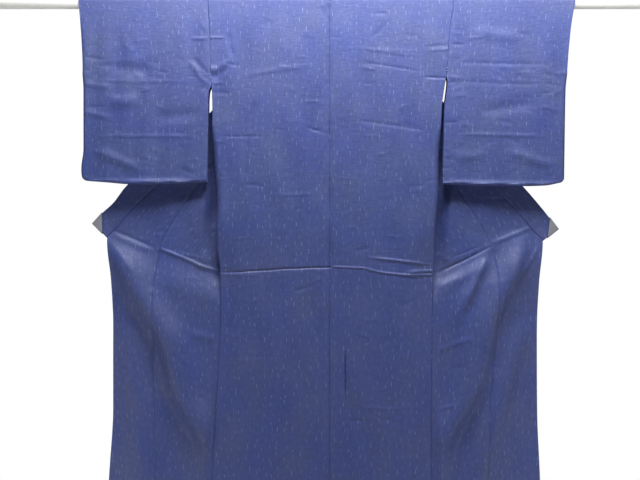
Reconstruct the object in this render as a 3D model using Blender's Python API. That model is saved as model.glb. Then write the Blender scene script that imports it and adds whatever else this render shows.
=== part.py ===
"""Kimono hung over a round display rod, its fronts swung out to both sides, back to the viewer.

Metres, +Z up. The garment's back faces -Y. The origin is on the rod's axis, half way along it.
Left is -X and right is +X, which are the wearer's left and right.
"""

import math
from collections import namedtuple

import bmesh
import bpy
from mathutils import Vector

# Rod
ROD_RADIUS = 0.018
ROD_LENGTH = 1.84
ROD_SIDES = 32
ROD_BEVEL = 0.0015

# Angle above which an edge is shown sharp, and the reach that welds a looped sheet
SHARP_ANGLE = math.radians(40)
WELD = 1e-6

# Cloth walls and the gaps between pieces
CLOTH = 0.0014
COLLAR_CLOTH = 0.0026
SEAM = 0.0004
REST = 0.0007

# Cloth path over the rod: middle of the wall, and a quarter turn of it
DRAPE = ROD_RADIUS + REST + CLOTH / 2
QUARTER = DRAPE * math.pi / 2
HEM_DROP = 1.59
WAIST_CREASE = 0.757
CREASE_HALF = 0.014
CREASE_DEPTH = 0.003
CREASE_FADE = 0.04
RELIEF_STARTS = 0.02
RELIEF_WHOLE = 0.12

# Open underarm, side seam and the rounding of the joined side edge
UNDERARM_OPEN_END = 0.33
UNDERARM_JOINED = 0.40
SIDE_ROUNDING = 0.9
SIDE_STRIP = 0.012

# Front fold behind the back panel
FOLD_FLAT_DROP = 0.10
FOLD_START_ANGLE = math.radians(20)
FOLD_START_RADIUS = 0.004
FOLD_BLEND = 0.02
NECK_LAPEL = 0.005
RELIEF_FROM_FOLD = (0.005, 0.05)
EDGE_TURN = 0.008
EDGE_TURN_FROM = 0.82
EDGE_TURN_TO = 1.00
SEAM_TO_EDGE_MIN = 0.001
FOLD_STEPS = 4
LAPEL_STEPS = 4
PLAIN_STEPS = 3
SIDE_STEPS = 4
BACK_SPREAD = 0.16

# Overlap panel and collar
POINT_DROP = 0.23
COLLAR_END_DROP = 0.79
COLLAR_WIDTH = 0.055
COLLAR_STEPS = 7
COLLAR_FLAT_DROP = 0.32
COLLAR_REST = 0.0013
COLLAR_LEAVES_ROD = -0.012
COLLAR_LEAN = 0.25
COLLAR_BULGE = 0.5
COLLAR_RISES = (0.055, 0.115)
SEAM_AT_NECK = 0.0009
NECK_STAND = 0.006
COLLAR_CUT = 0.05
COLLAR_GAP = 0.0008
OVERLAP_STEPS = 4

# Sleeve
SLEEVE_BOTTOM = -0.491
SLEEVE_ROUND = 0.016
SLEEVE_CORNER = 0.014
SLEEVE_BOWS = (0.31, 0.45)
CUFF_OPEN_END = -0.19
CUFF_JOINED = -0.24
SLEEVE_NARROWS = (0.25, 0.47)
SLEEVE_NARROWING = 0.3
SLEEVE_STEPS = 4
CUFF_RIM = 0.014
CUFF_RIM_SHARES = (1.0, 0.55, 0.22, 0.05, 0.0)
SLEEVE_HEIGHTS = [-0.06, -0.12, -0.18, -0.21, -0.24, -0.31, -0.39, -0.45]
SLEEVE_TURN_STEPS = 8
ROD_STEPS = 4

# Corner clips
CLIP_PLATE = 0.0011
CLIP_RUN = 0.041
CLIP_OUT = 0.0032
CLIP_POCKET = 0.0020
CLIP_PLAY = 0.0007
CLIP_POCKET_END = 0.02

Row = namedtuple("Row", "at value")

# Half depth of the hung cloth at a height: back panel, plain front, and the folded front behind them
Depth = namedtuple("Depth", "height back front folded")
DEPTHS = [
    Depth(0.00, 0.0194, 0.0194, 0.0320),
    Depth(-0.30, 0.0190, 0.0190, 0.0325),
    Depth(-0.55, 0.0175, 0.0165, 0.0325),
    Depth(-0.75, 0.0145, 0.0110, 0.0250),
    Depth(-0.95, 0.0125, 0.0070, 0.0190),
    Depth(-1.60, 0.0125, 0.0070, 0.0190),
]

# Back neckline, from the centre seam to the shoulder: distance along the cloth and half width
NECKLINE = [
    Row(-0.0255, 0.0),
    Row(-0.0225, 0.050),
    Row(-0.0150, 0.074),
    Row(-0.0075, 0.083),
    Row(0.0, 0.086),
]

# One front, by drop below the shoulder: fold line, overlap seam (x, z), outer edge (x, z)
Front = namedtuple("Front", "drop fold seam_x seam_z edge_x edge_z")
LEFT_FRONT = [
    Front(0.00, -0.0920, -0.0920, 0.0194, -0.0920, 0.0194),
    Front(0.10, -0.1100, -0.1400, -0.0690, -0.1400, -0.0690),
    Front(0.23, -0.1330, -0.2020, -0.1850, -0.2020, -0.1850),
    Front(0.37, -0.1580, -0.2520, -0.3330, -0.2850, -0.3300),
    Front(0.50, -0.1945, -0.3260, -0.4430, -0.3890, -0.4250),
    Front(0.66, -0.2395, -0.4170, -0.5760, -0.5200, -0.5390),
    Front(0.757, -0.2650, -0.4630, -0.6610, -0.5880, -0.6170),
    Front(0.79, -0.2680, -0.4700, -0.6930, -0.6090, -0.6395),
    Front(0.90, -0.2680, -0.4830, -0.8020, -0.5985, -0.7500),
    Front(1.05, -0.2680, -0.4825, -0.9520, -0.5925, -0.9000),
    Front(1.25, -0.2700, -0.4780, -1.1510, -0.5925, -1.0980),
    Front(1.45, -0.2740, -0.4730, -1.3510, -0.6040, -1.2960),
    Front(1.59, -0.2760, -0.4710, -1.4910, -0.6100, -1.4360),
]
RIGHT_FRONT = [
    Front(0.00, 0.0920, 0.0920, 0.0194, 0.0920, 0.0194),
    Front(0.10, 0.1110, 0.1400, -0.0690, 0.1400, -0.0690),
    Front(0.23, 0.1330, 0.2000, -0.1850, 0.2000, -0.1850),
    Front(0.37, 0.1560, 0.2500, -0.3270, 0.2830, -0.3220),
    Front(0.50, 0.1880, 0.3110, -0.4430, 0.3760, -0.4220),
    Front(0.66, 0.2290, 0.3960, -0.5770, 0.4920, -0.5450),
    Front(0.757, 0.2530, 0.4430, -0.6650, 0.5620, -0.6260),
    Front(0.79, 0.2560, 0.4520, -0.6980, 0.5820, -0.6480),
    Front(0.90, 0.2560, 0.4585, -0.8080, 0.5720, -0.7580),
    Front(1.05, 0.2500, 0.4490, -0.9570, 0.5660, -0.9080),
    Front(1.25, 0.2420, 0.4320, -1.1570, 0.5670, -1.1080),
    Front(1.45, 0.2420, 0.4320, -1.3570, 0.5750, -1.3080),
    Front(1.59, 0.2440, 0.4330, -1.4970, 0.5790, -1.4480),
]

# Free edge of the collar by drop: x, z
Edge = namedtuple("Edge", "drop x z")
LEFT_COLLAR = [
    Edge(0.00, -0.0880, 0.0460),
    Edge(0.10, -0.1680, -0.0540),
    Edge(0.23, -0.2450, -0.1760),
    Edge(0.37, -0.3240, -0.2910),
    Edge(0.50, -0.4260, -0.3850),
    Edge(0.66, -0.5590, -0.4990),
    Edge(0.71, -0.5930, -0.5435),
    Edge(0.757, -0.6270, -0.5750),
    Edge(0.79, -0.6480, -0.6000),
]
RIGHT_COLLAR = [
    Edge(0.00, 0.0880, 0.0460),
    Edge(0.10, 0.1660, -0.0520),
    Edge(0.23, 0.2400, -0.1690),
    Edge(0.37, 0.3230, -0.2820),
    Edge(0.50, 0.4150, -0.3770),
    Edge(0.66, 0.5330, -0.5030),
    Edge(0.757, 0.6040, -0.5880),
    Edge(0.79, 0.6240, -0.6150),
]

# Side edge of the body by height
LEFT_SIDE = [
    Row(0.02, -0.3216),
    Row(-0.18, -0.3216),
    Row(-0.24, -0.3189),
    Row(-0.30, -0.3150),
    Row(-0.51, -0.3040),
    Row(-0.73, -0.3000),
    Row(-0.95, -0.3010),
    Row(-1.25, -0.3160),
    Row(-1.60, -0.3200),
]
RIGHT_SIDE = [
    Row(0.02, 0.3070),
    Row(-0.20, 0.3070),
    Row(-0.225, 0.3095),
    Row(-0.27, 0.3025),
    Row(-0.51, 0.3020),
    Row(-0.73, 0.2890),
    Row(-0.95, 0.2790),
    Row(-1.25, 0.2740),
    Row(-1.60, 0.2760),
]

# Sleeve by height: edge beside the body, edge at the cuff
Sleeve = namedtuple("Sleeve", "height inner cuff")
LEFT_SLEEVE = [
    Sleeve(0.02, -0.3220, -0.6830),
    Sleeve(-0.06, -0.3220, -0.6740),
    Sleeve(-0.18, -0.3222, -0.6680),
    Sleeve(-0.24, -0.3297, -0.6680),
    Sleeve(-0.30, -0.3297, -0.6680),
    Sleeve(-0.40, -0.3310, -0.6680),
    Sleeve(-0.46, -0.3320, -0.6740),
    Sleeve(-0.50, -0.3330, -0.6700),
]
RIGHT_SLEEVE = [
    Sleeve(0.02, 0.3074, 0.6680),
    Sleeve(-0.06, 0.3074, 0.6520),
    Sleeve(-0.18, 0.3076, 0.6410),
    Sleeve(-0.22, 0.3160, 0.6390),
    Sleeve(-0.27, 0.3108, 0.6375),
    Sleeve(-0.50, 0.3050, 0.6345),
]

# Lowest line of the sleeve, by the share of the way from the body (0) to the cuff (1)
LEFT_HEM = [
    Row(0.0, -0.4880),
    Row(0.45, -0.4935),
    Row(0.66, -0.4930),
    Row(0.82, -0.4890),
    Row(1.0, -0.4845),
]
RIGHT_HEM = [
    Row(0.0, -0.4935),
    Row(0.50, -0.4980),
    Row(0.72, -0.4985),
    Row(0.88, -0.4970),
    Row(1.0, -0.4900),
]

# Largest soft folds: ends of a line (x, z), how wide, and how far it stands out towards the viewer
Fold = namedtuple("Fold", "x0 z0 x1 z1 width height")
LEFT_FOLDS = [
    Fold(-0.510, -0.840, -0.465, -1.010, 0.026, -0.0070),
    Fold(-0.465, -1.010, -0.350, -1.230, 0.026, -0.0060),
    Fold(-0.400, -0.900, -0.365, -1.020, 0.030, 0.0050),
    Fold(-0.545, -0.900, -0.500, -1.080, 0.028, 0.0060),
    Fold(-0.500, -1.080, -0.430, -1.300, 0.030, 0.0060),
    Fold(-0.350, -1.350, -0.340, -1.560, 0.026, 0.0050),
]
RIGHT_FOLDS = [
    Fold(0.540, -0.690, 0.475, -0.850, 0.026, 0.0060),
    Fold(0.520, -0.760, 0.440, -0.970, 0.026, -0.0060),
    Fold(0.440, -0.970, 0.345, -1.200, 0.028, -0.0060),
    Fold(0.370, -0.880, 0.345, -1.020, 0.028, 0.0045),
    Fold(0.500, -1.020, 0.440, -1.300, 0.030, 0.0060),
    Fold(0.350, -1.380, 0.340, -1.560, 0.026, 0.0050),
]
BACK_FOLDS = [
    Fold(-0.160, -0.250, -0.140, -0.600, 0.060, 0.0015),
    Fold(0.150, -0.300, 0.120, -0.640, 0.060, 0.0015),
    Fold(-0.150, -0.850, -0.170, -1.500, 0.050, 0.0018),
    Fold(0.130, -0.850, 0.150, -1.500, 0.050, 0.0018),
    Fold(0.038, -0.930, 0.036, -1.075, 0.016, -0.0030),
]

# Where each piece has a row of points
BACK_HEIGHTS = [
    -1.5595, -1.44, -1.32, -1.20, -1.08, -0.98, -0.88, -0.80,
    -0.7405, -0.7265, -0.7125, -0.65, -0.57, -0.49, -0.43, -0.40, -0.365, -0.33,
    -0.27, -0.225, -0.18, -0.12, -0.06,
]
ROD_BACK = [-QUARTER, -0.0255, -0.0225, -0.0150, -0.0075]
ROD_FRONT = [SEAM / 2] + [QUARTER * k / ROD_STEPS for k in range(1, ROD_STEPS + 1)]
UPPER_DROPS = ROD_FRONT + [COLLAR_CUT, 0.075, FOLD_FLAT_DROP, 0.150, 0.190, POINT_DROP]
LOWER_DROPS = [
    0.250, 0.31, 0.37, 0.44, 0.51, 0.58, 0.65, 0.70,
    WAIST_CREASE - CREASE_HALF, WAIST_CREASE, WAIST_CREASE + CREASE_HALF, COLLAR_END_DROP,
    0.85, 0.92, 1.00, 1.10, 1.20, 1.30, 1.40, 1.50, HEM_DROP,
]


def ease(value, low, high):
    """0 below low, 1 above high, and a smooth step between them."""
    part = min(max((value - low) / (high - low), 0.0), 1.0)
    return part * part * (3 - 2 * part)


def slopes(xs, ys):
    """Slopes of a smooth curve through the points that never overshoots them."""
    steps = [(ys[i + 1] - ys[i]) / (xs[i + 1] - xs[i]) for i in range(len(xs) - 1)]
    inner = [
        0.0 if before * after <= 0 else 2 * before * after / (before + after)
        for before, after in zip(steps, steps[1:])
    ]
    return [steps[0]] + inner + [steps[-1]]


def column(table, key, name, at):
    """Value of one column of a table, read smoothly at a place between its rows."""
    rows = sorted(table, key=lambda row: getattr(row, key))
    xs = [getattr(row, key) for row in rows]
    ys = [getattr(row, name) for row in rows]
    if at <= xs[0]:
        return ys[0]
    if at >= xs[-1]:
        return ys[-1]
    i = max(k for k in range(len(xs) - 1) if xs[k] <= at)
    width = xs[i + 1] - xs[i]
    t = (at - xs[i]) / width
    slope = slopes(xs, ys)
    return (
        (1 + 2 * t) * (1 - t) ** 2 * ys[i]
        + t * (1 - t) ** 2 * width * slope[i]
        + t * t * (3 - 2 * t) * ys[i + 1]
        + t * t * (t - 1) * width * slope[i + 1]
    )


def over_rod(along, radius):
    """Point (y, z) of a cloth hung over the rod, by distance from its top line, behind positive."""
    quarter = radius * math.pi / 2
    if abs(along) < quarter:
        angle = along / radius
        return radius * math.sin(angle), radius * math.cos(angle)
    return math.copysign(radius, along), quarter - abs(along)


def relief(x, z, folds):
    """How far the soft folds lift the cloth towards the viewer at a point."""
    total = 0.0
    for fold in folds:
        dx, dz = fold.x1 - fold.x0, fold.z1 - fold.z0
        t = ((x - fold.x0) * dx + (z - fold.z0) * dz) / (dx * dx + dz * dz)
        t = min(max(t, 0.0), 1.0)
        away = math.hypot(x - fold.x0 - t * dx, z - fold.z0 - t * dz)
        total += fold.height * math.exp(-((away / fold.width) ** 2))
    return total


def crease(drop):
    """Depth of the waist crease at a distance down the cloth."""
    return CREASE_DEPTH * max(0.0, 1 - abs(drop - WAIST_CREASE) / CREASE_HALF)


def depth_at(z, name):
    return column(DEPTHS, "height", name, z)


def join_share(z):
    """0 where the side edges hang apart, 1 where the side seam joins them."""
    return ease(-z, UNDERARM_OPEN_END, UNDERARM_JOINED)


class Side:
    """The shapes of one side of the garment."""

    def __init__(self, name, sign, front, collar, edge, sleeve, hem, folds):
        self.name = name
        self.sign = sign
        self.front = front
        self.collar = collar
        self.edge = edge
        self.sleeve = sleeve
        self.hem = hem
        self.folds = folds

    def side_x(self, z):
        return column(self.edge, "at", "value", z)

    def fold_x(self, drop):
        return column(self.front, "drop", "fold", drop)

    def folded_y(self, x, z, drop):
        """Depth of the folded front behind the body."""
        turn = ease(drop, EDGE_TURN_FROM, EDGE_TURN_TO) * ease(
            abs(x), abs(column(self.front, "drop", "seam_x", drop)),
            abs(column(self.front, "drop", "edge_x", drop)) + SEAM_TO_EDGE_MIN,
        )
        low, high = RELIEF_FROM_FOLD
        start = ease(abs(x) - abs(self.fold_x(drop)), low, high)
        y = depth_at(z, "folded") + EDGE_TURN * turn - start * relief(x, z, self.folds)
        outer = abs(column(self.front, "drop", "edge_x", drop))
        return y + crease(drop) * (1 - ease(abs(x), outer - CREASE_FADE, outer))

    def fold_frame(self, drop):
        """Start of the fold, the way in to the centre and the way out of the cloth's face there."""
        y, z = over_rod(drop, DRAPE)
        if drop > QUARTER:
            y = depth_at(z, "front")
        angle = min(drop / DRAPE, math.pi / 2)
        start = Vector((self.fold_x(drop), y, z))
        inward = Vector((-self.sign, 0, 0))
        outward = Vector((0, math.sin(angle), math.cos(angle)))
        return start, inward, outward

    def fold_point(self, drop, share):
        """Point on the turned fold; share runs from the plain front (0) to the folded front (1)."""
        start, inward, outward = self.fold_frame(drop)
        turned = ease(drop, 0.0, FOLD_FLAT_DROP)
        angle = FOLD_START_ANGLE + (math.pi - FOLD_START_ANGLE) * turned
        radius = FOLD_START_RADIUS
        if drop > QUARTER:
            gap = self.folded_y(self.fold_x(drop), start.z, drop) - start.y
            radius += (gap / 2 - radius) * turned
        bent = angle * share
        return start + inward * radius * math.sin(bent) + outward * radius * (1 - math.cos(bent))

    def lapel_end(self, drop, name):
        """Point on the overlap seam ("seam") or on the outer edge ("edge") of the folded front."""
        x = column(self.front, "drop", name + "_x", drop)
        z = column(self.front, "drop", name + "_z", drop)
        full = Vector((x, self.folded_y(x, z, max(drop, FOLD_FLAT_DROP)), z))
        if drop >= FOLD_FLAT_DROP:
            return full
        _, inward, outward = self.fold_frame(drop)
        turned = ease(drop, 0.0, FOLD_FLAT_DROP)
        angle = FOLD_START_ANGLE + (math.pi - FOLD_START_ANGLE) * turned
        away = max(NECK_LAPEL + (abs(x - self.fold_x(drop)) - NECK_LAPEL) * turned, NECK_LAPEL)
        way = inward * math.cos(angle) + outward * math.sin(angle)
        return self.fold_point(drop, 1.0) + way * away

    def plain_x(self, z):
        """Where the rounded side edge ends and the plain sheet begins."""
        return self.side_x(z) - self.sign * depth_at(z, "back") * join_share(z) * SIDE_ROUNDING

    def side_point(self, z, y, share):
        """Point on the rounded side edge; share runs from the side seam (0) to the plain sheet (1)."""
        angle = share * math.pi / 2
        joined = join_share(z)
        across = self.side_x(z) + (self.plain_x(z) - self.side_x(z)) * (1 - math.cos(angle))
        free = self.side_x(z) - self.sign * SIDE_STRIP * share
        x = free + (across - free) * joined
        seam = math.copysign(SEAM / 2, y)
        closed = seam + (y - seam) * math.sin(angle)
        return Vector((x, y + (closed - y) * joined, z))

    def sheet_edge(self, z):
        """Inner end of the side edge's steps."""
        return self.side_point(z, DRAPE, 1.0).x

    def back_y(self, x, z):
        """Depth of the back panel."""
        flat = ease(-z, RELIEF_STARTS, RELIEF_WHOLE)
        return -depth_at(z, "back") - flat * relief(x, z, BACK_FOLDS) + crease(QUARTER - z)

    def back_point(self, along, share):
        """Point on the back panel; share runs from the centre (0) to where the side edge begins (1)."""
        y, z = over_rod(along, DRAPE)
        inner = SEAM / 2
        if along > NECKLINE[0].at:
            inner = max(line_at(NECKLINE, along), inner)
        x = self.sign * inner + (self.sheet_edge(z) - self.sign * inner) * share
        if along < -QUARTER:
            y = self.back_y(x, z)
        return Vector((x, y, z))


LEFT = Side(
    "left", -1, LEFT_FRONT, LEFT_COLLAR, LEFT_SIDE, LEFT_SLEEVE, LEFT_HEM, LEFT_FOLDS
)
RIGHT = Side(
    "right", 1, RIGHT_FRONT, RIGHT_COLLAR, RIGHT_SIDE, RIGHT_SLEEVE, RIGHT_HEM, RIGHT_FOLDS
)


def line_at(rows, at):
    """Value on straight lines between the rows of a table."""
    for low, high in zip(rows, rows[1:]):
        if at <= high.at:
            return low.value + (high.value - low.value) * (at - low.at) / (high.at - low.at)
    return rows[-1].value


def front_row(side, drop):
    """Points across one front, from the overlap seam or collar seam to the side seam."""
    name = "edge" if drop <= POINT_DROP else "seam"
    end = side.lapel_end(drop, name)
    begin = side.fold_point(drop, 1.0)
    end = end + (begin - end).normalized() * SEAM / 2
    points = [end.lerp(begin, k / LAPEL_STEPS) for k in range(LAPEL_STEPS)]
    if drop > FOLD_FLAT_DROP:
        for point in points[1:]:
            share = ease((point - begin).length, 0.0, FOLD_BLEND)
            y = side.folded_y(point.x, point.z, drop)
            point.y += (y - point.y) * share
    points += [side.fold_point(drop, 1 - k / FOLD_STEPS) for k in range(FOLD_STEPS)]
    start, _, _ = side.fold_frame(drop)
    edge_x = side.sheet_edge(start.z)
    for k in range(PLAIN_STEPS):
        points.append(start.lerp(Vector((edge_x, start.y, start.z)), k / PLAIN_STEPS))
    for k in range(SIDE_STEPS + 1):
        points.append(side.side_point(start.z, start.y, 1 - k / SIDE_STEPS))
    return points


def back_row(side, along):
    """Points across the back at one distance from the shoulder, centre to side seam."""
    shoulder = front_row(side, 0.0)[: LAPEL_STEPS + FOLD_STEPS + PLAIN_STEPS]
    first, last = shoulder[0].x, side.sheet_edge(DRAPE)
    count = len(shoulder)
    near = ease(along, -BACK_SPREAD, 0.0)
    points = []
    for k, spot in enumerate(shoulder):
        share = k / count
        share += ((spot.x - first) / (last - first) - share) * near
        points.append(side.back_point(along, share))
    rim = side.back_point(along, 1.0)
    for k in range(SIDE_STEPS + 1):
        points.append(side.side_point(rim.z, rim.y, 1 - k / SIDE_STEPS))
    return points


def material(name, colour, roughness, metallic=0.0):
    new = bpy.data.materials.new(name)
    new.use_nodes = True
    shader = new.node_tree.nodes["Principled BSDF"]
    shader.inputs["Base Color"].default_value = (*colour, 1)
    shader.inputs["Roughness"].default_value = roughness
    shader.inputs["Metallic"].default_value = metallic
    return new


def add_object(name, bm, finish, smooth=True):
    mesh = bpy.data.meshes.new(name)
    bm.to_mesh(mesh)
    bm.free()
    if smooth:
        mesh.shade_smooth()
        mesh.set_sharp_from_angle(angle=SHARP_ANGLE)
    obj = bpy.data.objects.new(name, mesh)
    obj.data.materials.append(finish)
    bpy.context.scene.collection.objects.link(obj)
    return obj


def cloth(name, rows, thickness, finish, looped=False):
    """A wall of cloth through rows of points, given its thickness by a Solidify modifier."""
    if looped:
        rows = rows + [rows[0]]
    across, down = len(rows[0]) - 1, len(rows) - 1
    bm = bmesh.new()
    bmesh.ops.create_grid(bm, x_segments=across, y_segments=down, size=0.5)
    for vert in bm.verts:
        i = round((vert.co.x + 0.5) * across)
        j = round((vert.co.y + 0.5) * down)
        vert.co = rows[j][i]
    if looped:
        bmesh.ops.remove_doubles(bm, verts=bm.verts, dist=WELD)
    obj = add_object(name, bm, finish)
    wall = obj.modifiers.new("Cloth wall", "SOLIDIFY")
    wall.thickness = thickness
    wall.offset = 0.0
    wall.use_even_offset = True
    return obj


def back(side, finish):
    """The back half of one body width, from its hem up to the shoulder line on top of the rod."""
    rows = [back_row(side, height - QUARTER) for height in BACK_HEIGHTS]
    rows += [back_row(side, along) for along in ROD_BACK]
    rows.append([Vector((p.x, -p.y, p.z)) for p in front_row(side, ROD_FRONT[0])])
    return cloth("back_" + side.name, rows, CLOTH, finish)


def front(side, finish):
    """The front half of one body width, from the shoulder line down to its hem."""
    rows = [front_row(side, drop) for drop in UPPER_DROPS + LOWER_DROPS]
    return cloth("front_" + side.name, rows, CLOTH, finish)


def overlap(side, finish):
    """The overlap panel between the overlap seam and the collar or the front edge."""
    rows = []
    for drop in LOWER_DROPS:
        seam = side.lapel_end(drop, "seam")
        edge = side.lapel_end(drop, "edge")
        inset = (edge - seam).normalized() * SEAM / 2
        row = [(seam + inset).lerp(edge - inset, k / OVERLAP_STEPS) for k in range(OVERLAP_STEPS + 1)]
        for point in row[1:-1]:
            point.y = side.folded_y(point.x, point.z, drop)
        rows.append(row)
    return cloth("okumi_" + side.name, rows, CLOTH, finish)


def sleeve_depth(z, x, side):
    """Half depth of the sleeve, drawn in towards its bottom and its sewn cuff edge."""
    half = depth_at(z, "back") * (1 - SLEEVE_NARROWING * ease(-z, *SLEEVE_NARROWS))
    cuff = side_cuff(side, z)
    share = min(abs(cuff - x) / CUFF_RIM, 1.0)
    sewn = ease(-z, -CUFF_OPEN_END, -CUFF_JOINED)
    closed = max(math.sqrt(1 - (1 - share) ** 2), SEAM / half)
    return half * (1 + (closed - 1) * sewn)


def side_cuff(side, z):
    """Cuff edge by height, with the rounded lower corner."""
    x = column(side.sleeve, "height", "cuff", z)
    above = min(z - SLEEVE_BOTTOM, SLEEVE_CORNER)
    inset = SLEEVE_CORNER - math.sqrt(SLEEVE_CORNER**2 - (SLEEVE_CORNER - above) ** 2)
    return x - side.sign * inset


def sleeve_row(side, z, sign, bottom_share=1.0, along=None):
    """Points across the sleeve at one height, on the back (-1) or the front (1) sheet."""
    inner = column(side.sleeve, "height", "inner", z)
    cuff = side_cuff(side, z)
    rim_start = cuff - side.sign * CUFF_RIM
    xs = [inner + (rim_start - inner) * k / SLEEVE_STEPS for k in range(SLEEVE_STEPS)]
    xs += [cuff - side.sign * CUFF_RIM * share for share in CUFF_RIM_SHARES]
    if along is not None:
        y, top = over_rod(along, DRAPE)
        return [Vector((x, y, top)) for x in xs]
    bowed = ease(-z, *SLEEVE_BOWS)
    points = []
    for x in xs:
        lowest = column(side.hem, "at", "value", (x - inner) / (cuff - inner))
        y = sign * bottom_share * sleeve_depth(z, x, side)
        points.append(Vector((x, y, z + (lowest - SLEEVE_BOTTOM) * bowed)))
    return points


def sleeve(side, finish):
    """One sleeve: a flat tube over the rod, open at the cuff above and beside the body below."""
    rows = [sleeve_row(side, z, -1) for z in SLEEVE_HEIGHTS]
    for k in range(1, SLEEVE_TURN_STEPS):
        turn = k * math.pi / SLEEVE_TURN_STEPS
        z = SLEEVE_BOTTOM + SLEEVE_ROUND * (1 - math.sin(turn))
        rows.append(sleeve_row(side, z, -1, math.cos(turn)))
    rows += [sleeve_row(side, z, 1) for z in reversed(SLEEVE_HEIGHTS)]
    for k in range(ROD_STEPS, -ROD_STEPS - 1, -1):
        along = QUARTER * k / ROD_STEPS
        rows.append(sleeve_row(side, min(0.0, QUARTER - abs(along)), 1, along=along))
    return cloth("sleeve_" + side.name, rows, CLOTH, finish, looped=True)


def collar_free(side, drop):
    """Point on the free edge of the collar."""
    x = column(side.collar, "drop", "x", drop)
    z = column(side.collar, "drop", "z", drop)
    stand = NECK_STAND * (1 - ease(drop, 0.0, FOLD_FLAT_DROP))
    return Vector((x, side.folded_y(x, z, max(drop, FOLD_FLAT_DROP)) + stand, z))


def collar_section(side, drop):
    """Points across the collar beside a front: from its seam to its free edge."""
    seam = side.lapel_end(drop, "edge")
    free = collar_free(side, drop)
    _, _, outward = side.fold_frame(drop)
    lapel = (seam - side.fold_point(drop, 1.0)).normalized()
    chord = (free - seam).normalized()
    leave = (chord + outward * (1 - ease(drop, 0.0, COLLAR_FLAT_DROP))).normalized()
    bend = math.sin(lapel.angle(leave))
    seam = seam + leave * (SEAM / 2 + (CLOTH / 2 + SEAM / 2) * bend)
    reach = (free - seam).length
    handle = reach / 3 + COLLAR_BULGE * max(COLLAR_WIDTH - reach, 0.0) * bend
    points = []
    for k in range(COLLAR_STEPS + 1):
        t = k / COLLAR_STEPS
        point = seam * (1 - t) ** 3 + (seam + leave * handle) * 3 * t * (1 - t) ** 2
        point += (free - chord * handle) * 3 * t * t * (1 - t) + free * t**3
        points.append(point)
    return points


def neck_section(side, index):
    """Points across the collar behind the neck: up the rod, then off it, leaning to the front."""
    radius = ROD_RADIUS + COLLAR_REST + COLLAR_CLOTH / 2
    here = NECKLINE[index]
    before = NECKLINE[max(index - 1, 0)]
    after = NECKLINE[index + 1]
    run = Vector((after.value - before.value, after.at - before.at)).normalized()
    half = here.value - run.y * SEAM_AT_NECK
    start = here.at + run.x * SEAM_AT_NECK
    if index == 0:
        half = 0.0
    leave = max(COLLAR_LEAVES_ROD, start)
    lean = leave / radius
    points = []
    for k in range(COLLAR_STEPS + 1):
        length = start + COLLAR_WIDTH * k / COLLAR_STEPS
        y, z = over_rod(min(length, leave), radius)
        off = max(length - leave, 0.0)
        angle = lean + COLLAR_LEAN * off / COLLAR_WIDTH
        points.append(Vector((side.sign * half, y + off * math.cos(angle), z - off * math.sin(angle))))
    return points


def collar_side(side, finish):
    """The collar along one front, from just below the shoulder down to its end."""
    drops = UPPER_DROPS + LOWER_DROPS
    rows = [collar_section(side, drop) for drop in drops if COLLAR_CUT <= drop <= COLLAR_END_DROP]
    return cloth("collar_" + side.name, rows, COLLAR_CLOTH, finish)


def neck_rows(side):
    """Rows of the collar from beside the centre back to its meeting with the side's collar."""
    fronts = [collar_section(side, drop) for drop in UPPER_DROPS if drop < COLLAR_CUT]
    rows = []
    for index in range(1, len(NECKLINE) - 1):
        wrapped = neck_section(side, index)
        share = ease(NECKLINE[index].value, *COLLAR_RISES)
        mixed = [w.lerp(f, share) for w, f in zip(wrapped, fronts[0])]
        rows.append([wrapped[0]] + mixed[1:])
    return rows + fronts + [collar_section(side, COLLAR_CUT - COLLAR_GAP)]


def collar_neck(finish):
    """The collar round the back of the neck, from one shoulder to the other."""
    rows = list(reversed(neck_rows(LEFT))) + [neck_section(LEFT, 0)] + neck_rows(RIGHT)
    return cloth("collar_neck", rows, COLLAR_CLOTH, finish)


def clip(side, finish):
    """A folded corner clip: two plates over the collar's end, joined along its two edges."""
    tip, upper, lower = clip_corners(side)
    face_way = (upper - tip).cross(lower - tip).normalized()
    depth = face_way * (COLLAR_CLOTH / 2 + CLIP_PLAY + CLIP_PLATE)
    bm = bmesh.new()
    plate = bm.faces.new([bm.verts.new(corner - depth) for corner in (tip, upper, lower)])
    grown = bmesh.ops.extrude_face_region(bm, geom=[plate])
    moved = [item for item in grown["geom"] if isinstance(item, bmesh.types.BMVert)]
    bmesh.ops.translate(bm, verts=moved, vec=depth * 2)
    bmesh.ops.recalc_face_normals(bm, faces=bm.faces)
    inward = ((upper + lower) / 2 - tip).normalized()
    mouth = max(bm.faces, key=lambda face: face.normal.dot(inward))
    bmesh.ops.inset_region(bm, faces=[mouth], thickness=CLIP_PLATE, depth=0)
    deep = bmesh.ops.extrude_face_region(bm, geom=[mouth])
    inner = [item for item in deep["geom"] if isinstance(item, bmesh.types.BMVert)]
    bmesh.ops.delete(bm, geom=[mouth], context="FACES_ONLY")
    pocket = tip + inward * CLIP_POCKET
    for vert in inner:
        away = vert.co - pocket
        across = face_way * away.dot(face_way)
        vert.co = pocket + across + (away - across) * CLIP_POCKET_END
    return add_object("clip_" + side.name, bm, finish, smooth=False)


def clip_corners(side):
    """Outer corners of the clip: its point, and the ends of its upper and lower edges."""
    tip = collar_free(side, COLLAR_END_DROP)
    seam = side.lapel_end(COLLAR_END_DROP, "edge")
    up = (collar_free(side, WAIST_CREASE - CREASE_HALF) - tip).normalized()
    down = (seam - tip).normalized()
    point = tip - (up + down).normalized() * CLIP_OUT
    return [point, point + up * CLIP_RUN, point + down * CLIP_RUN]


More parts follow.
